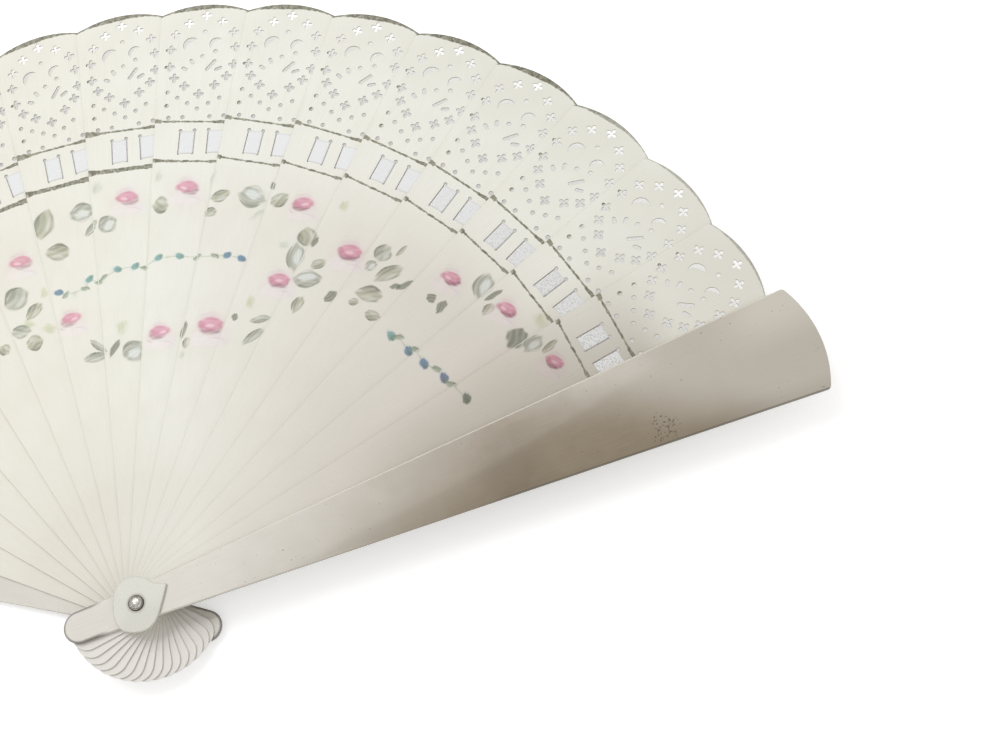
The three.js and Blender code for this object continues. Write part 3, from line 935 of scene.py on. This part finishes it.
def aged_celluloid(s, streaks, clouds, angle, radius):
    """Ivory with browning towards the pivot, the tails and the front guard, and painted shade towards the
    pivot and guard
    """
    def between(low, high, to_low=0.0, to_high=1.0):
        return s.stretch(angle, math.radians(low), math.radians(high), to_low, to_high, smooth=False)

    tone = s.mix(s.stretch(clouds, *CLOUD_RANGE), IVORY_LIGHT, IVORY_DARK)
    tone = s.mix(between(*WARM_ANGLES), tone, WARM_IVORY)
    # Darker towards the front guard and the pivot: partly browning, partly painted shade
    inner = s.times(between(*BROWN_AND_SHADE_ANGLES), s.stretch(radius, *BROWN_AND_SHADE_OUTWARD))
    browned_and_shaded = s.mix_value(s.stretch(radius, *TIP_OUTWARD), inner, between(*TIP_ANGLES))
    browned_and_shaded = s.math("MAXIMUM", browned_and_shaded, s.stretch(radius, *BROWN_AND_SHADE_INWARD))
    tone = s.mix(s.times(browned_and_shaded, s.stretch(s.x, *BROWN_AND_SHADE_UNCOVERED)), tone, BROWNED_AND_SHADED_IVORY)
    # Darker beside the front guard: partly stained, partly painted shade
    stain_and_shade = s.times(s.stretch(radius, *STAIN_AND_SHADE_START), s.stretch(radius, *STAIN_AND_SHADE_END))
    tone = s.mix(s.times(stain_and_shade, between(*STAIN_AND_SHADE_ANGLES)), tone, STAINED_AND_SHADED_IVORY)
    tone = s.mix(s.stretch(s.x, *ROSY_TAILS), tone, ROSY_TAIL)
    return s.mix(s.stretch(streaks, *STREAK_RANGE), tone, IVORY_STREAK)


LEFT_LINES, RIGHT_RIMS = (84, 96), (52, 38)  # angles between which the gilding changes
GILT_WOBBLE = 0.9, 3
GILT_WEAR, WEAR_RANGE = (1.6, 4), (0.3, 0.5, 0.72, 1.0)
GILT_CLOUDS, GILT_RANGE = (0.7, 3), (0.35, 0.65)
BLADE_GLOSS = 0.3, 0.7, 0.26, 0.36
HOLE_SHADE, GILT_METAL, BLADE_RELIEF = 0.9, 0.3, 0.03
LAID_ROUGHNESS, LAID_HEIGHT, STREAK_HEIGHT = 0.12, 0.6, 0.25  # of gilding and paint, and of the grain


def blade_material():
    """Ivory celluloid with dull gilding and the painting"""
    s = Surface("painted_celluloid", IVORY, 0.3, IOR=1.5, Coat_Weight=0.2, Coat_Roughness=0.15)
    streaks, clouds = celluloid_grain(s)
    fan_x, fan_y, _ = s.split(s.attribute("open_place", "Vector"))
    angle = s.math("ARCTAN2", fan_y, fan_x)
    tone = aged_celluloid(s, streaks, clouds, angle, s.length(fan_x, fan_y))
    # Painted shade on the walls of the pierced holes
    tone = s.mix(s.times(s.attribute("hole_wall", "Fac"), HOLE_SHADE), tone, HOLE_WALL_SHADE)
    cover = s.attribute("paint_cover", "Fac")
    # The paint takes the blade's tone, its browning and painted shade included
    paint_aged_and_shaded = s.vector("MULTIPLY", s.attribute("paint_color", "Vector"), s.vector("DIVIDE", tone, IVORY))
    tone = s.mix(cover, tone, paint_aged_and_shaded)
    wobble = s.noise(s.place, *GILT_WOBBLE)
    lines = gilt_lines(s, wobble, s.stretch(angle, *map(math.radians, LEFT_LINES)))
    on_right = s.stretch(angle, *map(math.radians, RIGHT_RIMS))
    rim = s.times(gilt_rim(s, wobble, on_right), s.scaled(on_right, RIGHT_RIM_COVER, 1.0))
    worn = s.stretch(s.noise(s.place, *GILT_WEAR), *WEAR_RANGE)
    gilt = s.times(s.math("MAXIMUM", lines, rim), worn)
    gold = s.mix(s.stretch(s.noise(s.place, *GILT_CLOUDS), *GILT_RANGE), GILT_DARK, GILT_LIGHT)
    s.color(s.mix(gilt, tone, gold))
    s.metal(s.times(gilt, GILT_METAL))
    laid = s.math("MAXIMUM", gilt, cover)
    s.roughness(s.scaled(laid, LAID_ROUGHNESS, s.stretch(streaks, *BLADE_GLOSS)))
    s.bump(s.scaled(laid, LAID_HEIGHT, s.times(streaks, STREAK_HEIGHT)), BLADE_RELIEF)
    return s.material


# The guard's colour: a brown band, partly stained and partly painted dark reflection, then painted
# highlight, reflections and shade. Along is a range of x. Across is one of y, or of the distance from an
# edge
STAIN_AND_REFLECTION_DRIFT = 14  # how far the clouds move the brown band and the greying
STAIN_AND_REFLECTION_NEAR, NEAR_SLANT = (10, 106), -0.7
STAIN_AND_REFLECTION_FAR, FAR_SLANT = (154, 114), 1.8
GREYING_ALONG = 80, 110
CORE_ALONG, CORE_ACROSS, CORE_RANGE = (0.09, -8.9), (0.085, 0.3), (1.2, 0.3, 0.0, 0.4)  # factor and shift
PALE_ALONG, PALE_ACROSS = (154, 174), (-2, 11, 0.0, 0.6)
SHADE_ALONG, SHADE_ACROSS = (60, 95), (5.0, 0.0, 0.0, 0.18)
HIGHLIGHT_ALONG, HIGHLIGHT_ACROSS = (14, 40), (0.5, 0.3, 0.0, 0.7)
EDGE_SHADOW_ALONG, EDGE_SHADOW_ACROSS = (85, 100), (0.45, 0.3, 0.0, 0.6)
TAIL_ALONG, TAIL_ACROSS = (-8, -12, 0.0, 0.8), (0.75, 0.3)
SPECK_X, SPECK_Y = 138, -8.5
SPECK_NEAR, SPECK_NOISE, SPECK_RANGE = (6, 2, 0.74, 0.56), (1.5, 2), (0.0, 0.02, 0.0, 0.8)
GUARD_STREAKS = 0.4, 0.75, 0.0, 0.1
GUARD_HAZE, GUARD_GLOSS = (0.3, 4), (0.3, 0.7, 0.15, 0.27)
GUARD_RELIEF = 0.008


def guard_material():
    """Plain glossy celluloid: a brown band, partly stained, partly painted reflection; painted light and
    shade; specks
    """
    s = Surface("guard_celluloid", GUARD_IVORY, 0.2, IOR=1.5, Coat_Weight=0.5, Coat_Roughness=0.06)
    streaks, clouds = celluloid_grain(s)
    stain_and_shade = s.attribute("stain_and_shade", "Fac")
    # Brown band across the middle: partly stained, partly a painted dark reflection
    drift = s.scaled(s.less(clouds, NOISE_MEAN), STAIN_AND_REFLECTION_DRIFT, s.x)
    near = s.stretch(s.scaled(s.y, NEAR_SLANT, drift), *STAIN_AND_REFLECTION_NEAR)
    far = s.stretch(s.scaled(s.y, FAR_SLANT, drift), *STAIN_AND_REFLECTION_FAR)
    tone = s.mix(s.stretch(drift, *GREYING_ALONG), GUARD_LIGHT, GUARD_GREY)
    tone = s.mix(s.times(s.times(near, far), stain_and_shade), tone, GUARD_BROWN_AND_REFLECTION)
    tone = s.mix(s.stretch(streaks, *GUARD_STREAKS), tone, GUARD_STREAK)
    # Painted dark reflection: a soft dark patch in the brown band
    dark_reflection = s.length(s.scaled(s.x, *CORE_ALONG), s.scaled(s.y, *CORE_ACROSS))
    tone = s.mix(s.times(s.stretch(dark_reflection, *CORE_RANGE), stain_and_shade), tone, GUARD_DARK_REFLECTION)
    half = s.scaled(s.x, GUARD_TAPER, PIVOT_HALF_WIDTH)
    from_left, from_right = s.less(half, s.y), s.math("ADD", half, s.y)
    beyond = s.math("MINIMUM", s.math("ADD", s.x, GUARD_TAIL_REACH - TAIL_HALF_WIDTH), 0)
    from_end = s.less(TAIL_HALF_WIDTH, s.length(beyond, s.y))
    # Painted light and shade: a reflection near the tip, shade and shadow along the right edge, a highlight
    # along the left edge, shade round the tail
    for along, place, across, shade in (
        (PALE_ALONG, s.y, PALE_ACROSS, GUARD_PALE_REFLECTION),
        (SHADE_ALONG, from_right, SHADE_ACROSS, GUARD_SHADE),
        (HIGHLIGHT_ALONG, from_left, HIGHLIGHT_ACROSS, GUARD_EDGE_HIGHLIGHT),
        (EDGE_SHADOW_ALONG, from_right, EDGE_SHADOW_ACROSS, GUARD_EDGE_SHADOW),
        (TAIL_ALONG, from_end, TAIL_ACROSS, GUARD_TAIL_SHADE),
    ):
        tone = s.mix(s.times(s.stretch(s.x, *along), s.stretch(place, *across)), tone, shade)
    cluster = s.length(s.less(s.x, SPECK_X), s.less(s.y, SPECK_Y))
    speck = s.less(s.noise(s.place, *SPECK_NOISE), s.stretch(cluster, *SPECK_NEAR))
    s.color(s.mix(s.stretch(speck, *SPECK_RANGE), tone, GUARD_SPECK))
    s.roughness(s.stretch(s.noise(s.place, *GUARD_HAZE), *GUARD_GLOSS))
    s.bump(streaks, GUARD_RELIEF)
    return s.material


RIVET_RING_RANGE = 2.8, 2.1, 0.0, 0.5  # distances from the rivet
PLATE_CLOUDS = 0.4, 0.6
PLATE_HAZE, PLATE_GLOSS = (1.2, 4), (0.3, 0.7, 0.25, 0.31)
PLATE_RELIEF = 0.01


def plate_material():
    """Ivory celluloid, darker in a ring round the rivet"""
    s = Surface("plate_celluloid", PLATE_IVORY, 0.28, IOR=1.5, Coat_Weight=0.3, Coat_Roughness=0.1)
    streaks, clouds = celluloid_grain(s)
    tone = s.mix(s.stretch(clouds, *PLATE_CLOUDS), PLATE_LIGHT, PLATE_DARK)
    s.color(s.mix(s.stretch(s.length(s.x, s.y), *RIVET_RING_RANGE), tone, PLATE_RIVET_RING))
    s.roughness(s.stretch(s.noise(s.place, *PLATE_HAZE), *PLATE_GLOSS))
    s.bump(streaks, PLATE_RELIEF)
    return s.material


RIB_PITCH = 0.42
WEAVE_RATES, WEAVE_NOISE, WEAVE_SHARE, RIB_SHARE = (6, 1.2), (1.0, 3), 0.6, 0.2
THREAD_RANGE = 0.25, 0.85
LACE_NOISE, LACE_RANGE = (2.2, 2), (0.52, 0.6, 0.35, 1.0)
SELVAGE = 3.05, 3.35, 0.0, 0.5  # distances from the ribbon's middle
SILK_GLOSS = 0.3, 0.7, 0.48, 0.66
SILK_RELIEF = 0.03


def silk_material():
    """White silk with fine ribs across the ribbon and a soft sheen"""
    s = Surface("silk", SILK, 0.55, Sheen_Weight=0.35, Sheen_Roughness=0.4)
    ribs = s.math("SINE", s.times(s.y, 2 * math.pi / RIB_PITCH))
    rate_x, rate_y = WEAVE_RATES
    weave = s.noise(s.join(s.times(s.x, rate_x), s.times(s.y, rate_y), s.z), *WEAVE_NOISE)
    thread = s.scaled(weave, WEAVE_SHARE, s.scaled(ribs, RIB_SHARE, RIB_SHARE))
    tone = s.mix(s.stretch(thread, *THREAD_RANGE), SILK_LOW, SILK_HIGH)
    lace = s.stretch(s.noise(s.place, *LACE_NOISE), *LACE_RANGE)
    # Duller towards the front guard: partly ageing, partly painted shade, with the lace showing there
    tone = s.mix(s.times(s.attribute("silk_age_and_shade", "Fac"), lace), tone, SILK_DULL_AND_SHADED)
    edge = s.stretch(s.math("ABSOLUTE", s.less(s.x, RIBBON_CENTRE)), *SELVAGE)
    s.color(s.mix(edge, tone, SILK_EDGE))
    s.roughness(s.stretch(weave, *SILK_GLOSS))
    s.bump(thread, SILK_RELIEF)
    return s.material


SCRATCHES, SCRATCH_RANGE = (2.5, 5), (0.35, 0.7)
STEEL_GLOSS = 0.3, 0.7, 0.18, 0.36
STEEL_RELIEF = 0.02
STEEL_FOOT = 1.45, 1.9  # distances from the rivet's axis between which it darkens


def steel_material():
    """Worn steel, with a painted dark reflection on its rim where it meets the plate"""
    s = Surface("rivet_steel", STEEL, 0.25, Metallic=1.0)
    scratches = s.noise(s.place, *SCRATCHES)
    tone = s.mix(s.stretch(scratches, *SCRATCH_RANGE), STEEL_LIGHT, STEEL_DARK)
    # Painted dark reflection on the rolled rim, outside the dome's foot
    s.color(s.mix(s.stretch(s.length(s.x, s.y), *STEEL_FOOT), tone, STEEL_RIM_REFLECTION))
    s.roughness(s.stretch(scratches, *STEEL_GLOSS))
    s.bump(scratches, STEEL_RELIEF)
    return s.material


# Pieces


def add_blades(material):
    rings = [blade_outline(BLADE_REACH, BLADE_SCALLOP_RISE, BLADE_CORNER)] + blade_holes()
    canvas = grid(*PAINT_ZONE, PAINT_STEP)
    canvas = free_points(canvas[shows(canvas)], rings[:1], PAINT_STEP)
    touches = garland()
    for index, name in enumerate(BLADE_NAMES[1:-1], 1):
        angle = blade_angle(index)
        _, _, near = lay(touches, placed(canvas, 0, 0, angle))
        vertices, faces, top, walls = slab(rings, BLADE_THICKNESS, BLADE_BEVEL, canvas[near])
        piece = add_piece(name, vertices, faces, material, "blade_celluloid", angle, underside(name))
        spread = placed(vertices[:, :2], 0, 0, angle)
        colour, cover, _ = lay(touches, spread)
        upper, pierced = np.zeros(len(vertices)), np.zeros(len(vertices))
        upper[top] = shows(vertices[top, :2])
        pierced[walls] = 1
        opaque = np.column_stack([colour, np.ones(len(colour))])
        set_attribute(piece, "open_place", "FLOAT_VECTOR", np.column_stack([spread, vertices[:, 2]]))
        set_attribute(piece, "paint_color", "FLOAT_COLOR", opaque)
        set_attribute(piece, "paint_cover", "FLOAT", cover * upper)
        set_attribute(piece, "hole_wall", "FLOAT", pierced)


def guard_crown(x, y):
    """How far a guard's face swells at places on it"""
    across = np.clip(np.abs(y) / half_width(np.maximum(x, 0), GUARD_TAPER), 0, 1)
    grown = smooth_step(x, CROWN_START, CROWN_FULL)
    faded = smooth_step(x, GUARD_REACH + GUARD_SCALLOP_RISE, CROWN_FADE)
    return GUARD_CROWN * (1 - across**2) * (grown * faded)


def add_guards(material):
    outline = blade_outline(GUARD_REACH, GUARD_SCALLOP_RISE, GUARD_CORNER, GUARD_TAPER, GUARD_TAIL_REACH)
    rings = [outline, circle(BORE_RADIUS, BORE_SIDES)]
    along = -GUARD_TAIL_REACH, GUARD_REACH + GUARD_SCALLOP_RISE
    face = grid(along, (-GUARD_GRID_HALF, GUARD_GRID_HALF), GUARD_GRID_STEP)
    face = free_points(face, rings, GUARD_GRID_ROOM)
    for name, index, stain_and_shade in (("front_guard", 0, 1.0), ("back_guard", LAST_BLADE, BACK_STAIN_AND_REFLECTION)):
        vertices, faces, _, _ = slab(rings, GUARD_THICKNESS, GUARD_BEVEL, face, guard_crown)
        if index:
            vertices, faces = turn_over(vertices, faces, GUARD_THICKNESS)
        place = blade_angle(index), underside(name)
        piece = add_piece(name, vertices, faces, material, "guard_celluloid", *place, GUARD_SMOOTH)
        set_attribute(piece, "stain_and_shade", "FLOAT", np.full(len(vertices), stain_and_shade))


def ribbon_mesh(path):
    """A thin strip across a blade that follows points of sideways place and height"""
    path = np.array(path)
    rows = np.linspace(-RIBBON_WIDTH / 2, RIBBON_WIDTH / 2, RIBBON_ROWS) + RIBBON_CENTRE
    run = np.gradient(path, axis=0)
    run /= np.linalg.norm(run, axis=1, keepdims=True)
    normal = np.stack([-run[:, 1], run[:, 0]], axis=1)
    sides = []
    for side in (0.5, -0.5):
        line = path + normal * RIBBON_THICKNESS * side
        sides.append(np.array([[(x, y, z) for x in rows] for y, z in line]))
    steps, width = len(path), len(rows)
    vertices = np.concatenate([side.reshape(-1, 3) for side in sides])

    def at(side, k, j):
        return side * steps * width + k * width + j

    faces = []
    for k in range(steps - 1):
        for j in range(width - 1):
            upper = [at(0, k, j), at(0, k, j + 1), at(0, k + 1, j + 1), at(0, k + 1, j)]
            faces += [upper, [v + steps * width for v in reversed(upper)]]
        for j in (0, width - 1):
            edge = [at(0, k, j), at(0, k + 1, j), at(1, k + 1, j), at(1, k, j)]
            faces.append(edge if j == 0 else edge[::-1])
    for k in (0, steps - 1):
        for j in range(width - 1):
            edge = [at(0, k, j + 1), at(0, k, j), at(1, k, j), at(1, k, j + 1)]
            faces.append(edge if k == 0 else edge[::-1])
    return vertices, faces


def laced_path():
    """Over the blade's right side, down and up through its slits, and under its left side"""
    over = BLADE_THICKNESS + RIBBON_LIFT + RIBBON_THICKNESS / 2
    under = -RIBBON_LIFT - RIBBON_THICKNESS / 2
    levels = [over, under, over, under]
    stops = [-RIBBON_END, *reversed(SLIT_OFFSETS), RIBBON_END]
    points, last = [], len(levels) - 1
    for k, level in enumerate(levels):
        start = stops[k] + (RIBBON_SLOPE / 2 if k else 0)
        end = stops[k + 1] - (RIBBON_SLOPE / 2 if k < last else 0)
        points += [(y, level) for y in np.linspace(start, end, FLAT_STEPS)]
        if k < last:
            for t in np.linspace(0, 1, SLOPE_STEPS)[1:-1]:
                risen = level + (levels[k + 1] - level) * smooth_step(t, 0, 1)
                points.append((end + RIBBON_SLOPE * t, risen))
    return points


def glued_path(start, height):
    """A flat run of the ribbon that is stuck to a guard"""
    return [(y, height) for y in np.linspace(start, start + RIBBON_GLUED_LENGTH, GLUED_STEPS)]


def add_ribbon(material):
    rise = RIBBON_LIFT + RIBBON_THICKNESS / 2
    stretches = {name.replace("blade", "ribbon"): (name, laced_path()) for name in BLADE_NAMES[1:-1]}
    stretches["ribbon_front_end"] = "front_guard", glued_path(RIBBON_END - RIBBON_GLUED_LENGTH, -rise)
    stretches["ribbon_back_end"] = "back_guard", glued_path(-RIBBON_END, GUARD_THICKNESS + rise)
    for name, (carrier, path) in stretches.items():
        vertices, faces = ribbon_mesh(path)
        angle = blade_angle(BLADE_NAMES.index(carrier))
        place = angle, underside(carrier)
        piece = add_piece(name, vertices, faces, material, "silk_ribbon", *place, RIBBON_SMOOTH)
        aged_and_shaded = SILK_AGE_AND_SHADE * (1 - smooth_step(angle, *AGED_AND_SHADED_SILK))
        set_attribute(piece, "silk_age_and_shade", "FLOAT", np.full(len(vertices), aged_and_shaded))


def plate_outline():
    """A rounded shield with one sharp corner that looks along the guard"""
    ends = PLATE_CORNERS[1:] + PLATE_CORNERS[:1]
    curves = [bend(*curve)[:-1] for curve in zip(PLATE_CORNERS, PLATE_PULLS, ends, PLATE_STEPS)]
    return np.concatenate(curves)[::-1]


def add_plates(material):
    rings = [plate_outline(), circle(BORE_RADIUS, BORE_SIDES)]
    for name, index in (("front_plate", 0), ("back_plate", LAST_BLADE)):
        shown = [ring * (1, -1) for ring in rings] if index else rings
        vertices, faces, _, _ = slab(shown, PLATE_THICKNESS, PLATE_BEVEL)
        if index:
            vertices, faces = turn_over(vertices, faces, PLATE_THICKNESS)
        place = blade_angle(index), underside(name)
        add_piece(name, vertices, faces, material, "plate_celluloid", *place, PLATE_SMOOTH)


def turned(profile, sides):
    """Vertices and faces of a closed solid of revolution about z

    The profile runs from one end of the axis to the other.
    """
    vertices, faces = [(0, 0, profile[0][1])], []
    around = np.linspace(0, 2 * math.pi, sides, endpoint=False)
    for radius, z in profile[1:-1]:
        vertices += [(radius * math.cos(a), radius * math.sin(a), z) for a in around]
    vertices.append((0, 0, profile[-1][1]))
    last = len(vertices) - 1
    for k in range(sides):
        after = (k + 1) % sides
        faces.append([0, 1 + after, 1 + k])
        for row in range(len(profile) - 3):
            base = 1 + row * sides
            faces.append([base + k, base + after, base + sides + after, base + sides + k])
        faces.append([last, last - sides + k, last - sides + after])
    return vertices, faces


def add_rivet(material):
    """Flat back head, shank and a front head with a rolled rim round a small dome"""
    low, high = (corner.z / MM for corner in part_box("rivet"))
    seat, shoulder = high - FRONT_HEAD_RISE, low + BACK_HEAD_THICKNESS
    inner = BACK_HEAD_RADIUS - BACK_HEAD_BEVEL
    profile = [
        (0, low), (inner, low), (BACK_HEAD_RADIUS, low + BACK_HEAD_BEVEL),
        (BACK_HEAD_RADIUS, shoulder - BACK_HEAD_BEVEL), (inner, shoulder), (SHANK_RADIUS, shoulder),
        (SHANK_RADIUS, seat), (FRONT_HEAD_RADIUS, seat),
    ]
    across, upward = ROLLED_RIM
    for a in np.radians(ROLLED_ANGLES):
        radius = FRONT_HEAD_RADIUS - across + across * math.cos(a)
        profile.append((radius, seat + upward + upward * math.sin(a)))
    for a in np.radians(DOME_ANGLES):
        rise = (FRONT_HEAD_RISE - DOME_SEAT) * math.sin(a)
        profile.append((DOME_RADIUS * math.cos(a), seat + DOME_SEAT + rise))
    profile.append((0, high))
    vertices, faces = turned(profile, RIVET_SIDES)
    add_piece("rivet", vertices, faces, material, "rivet_steel", smooth=RIVET_SMOOTH)


# Floor, light and camera


def seen(tree):
    """1 for what the camera sees, directly, in a reflection or through something clear, and 0 for light"""
    paths = tree.nodes.new("ShaderNodeLightPath")
    share = paths.outputs["Is Camera Ray"]
    for ray in ("Is Glossy Ray", "Is Transmission Ray"):
        either = tree.nodes.new("ShaderNodeMath")
        either.operation = "MAXIMUM"
        tree.links.new(share, either.inputs[0])
        tree.links.new(paths.outputs[ray], either.inputs[1])
        share = either.outputs[0]
    return share


def seen_strength(tree, otherwise, when_seen):
    """A strength that differs for what is seen"""
    node = tree.nodes.new("ShaderNodeMath")
    node.operation = "MULTIPLY_ADD"
    tree.links.new(seen(tree), node.inputs[0])
    node.inputs[1].default_value = when_seen - otherwise
    node.inputs[2].default_value = otherwise
    return node.outputs[0]


def add_floor():
    """White floor that keeps a soft shadow and shows as white where the light reaches it"""
    half = FLOOR_SIZE / 2 * MM
    mesh = bpy.data.meshes.new("floor")
    corners = [(-half, -half, 0), (half, -half, 0), (half, half, 0), (-half, half, 0)]
    mesh.from_pydata(corners, [], [(0, 1, 2, 3)])
    floor = bpy.data.objects.new("floor", mesh)
    bpy.context.scene.collection.objects.link(floor)
    floor.location.z = cad_box[0].z - FLOOR_DROP * MM
    material = bpy.data.materials.new("floor")
    material.use_nodes = True
    tree = material.node_tree
    tree.nodes.clear()
    kinds = "OutputMaterial", "BsdfDiffuse", "Emission", "AddShader"
    output, diffuse, glow, both = (tree.nodes.new("ShaderNode" + kind) for kind in kinds)
    diffuse.inputs["Color"].default_value = (*FLOOR_COLOR, 1)
    glow.inputs["Color"].default_value = (1, 1, 1, 1)
    tree.links.new(seen_strength(tree, 0.0, FLOOR_GLOW), glow.inputs["Strength"])
    tree.links.new(diffuse.outputs[0], both.inputs[0])
    tree.links.new(glow.outputs[0], both.inputs[1])
    tree.links.new(both.outputs[0], output.inputs["Surface"])
    mesh.materials.append(material)


def add_lights():
    world = bpy.data.worlds.new("studio")
    bpy.context.scene.world = world
    world.use_nodes = True
    background = world.node_tree.nodes["Background"]
    background.inputs["Color"].default_value = (1.0, 1.0, 1.0, 1)
    strength = seen_strength(world.node_tree, WORLD_LIGHT, 1.0)
    world.node_tree.links.new(strength, background.inputs["Strength"])
    for name, place, size, power in LAMPS:
        lamp = bpy.data.lights.new(name, "AREA")
        lamp.shape = "SQUARE"
        lamp.size = size * MM
        lamp.energy = power
        light = bpy.data.objects.new(name, lamp)
        bpy.context.scene.collection.objects.link(light)
        light.location = Vector(place) * MM
        aim = Vector(LAMP_AIM) * MM - light.location
        light.rotation_euler = aim.to_track_quat("-Z", "Y").to_euler()


def add_camera():
    azimuth, elevation, roll = map(math.radians, (CAMERA_AZIMUTH, CAMERA_ELEVATION, CAMERA_ROLL))
    level = math.cos(elevation)
    back = Vector((math.sin(azimuth) * level, -math.cos(azimuth) * level, math.sin(elevation)))
    right = Vector((math.cos(azimuth), math.sin(azimuth), 0))
    up = back.cross(right)
    across = right * math.cos(roll) + up * math.sin(roll)
    upward = up * math.cos(roll) - right * math.sin(roll)
    data = bpy.data.cameras.new("camera")
    data.lens = CAMERA_LENS
    data.sensor_width = SENSOR_WIDTH
    data.clip_start, data.clip_end = CLIP_RANGE
    camera = bpy.data.objects.new("camera", data)
    bpy.context.scene.collection.objects.link(camera)
    place = (Vector(CAMERA_TARGET) + back * CAMERA_DISTANCE) * MM
    turn = Matrix((across, upward, back)).transposed().to_4x4()
    camera.matrix_world = Matrix.Translation(place) @ turn
    bpy.context.scene.camera = camera


add_blades(blade_material())
add_guards(guard_material())
add_ribbon(silk_material())
add_plates(plate_material())
add_rivet(steel_material())
add_floor()
add_lights()
add_camera()
bpy.context.scene.view_settings.view_transform = "Standard"
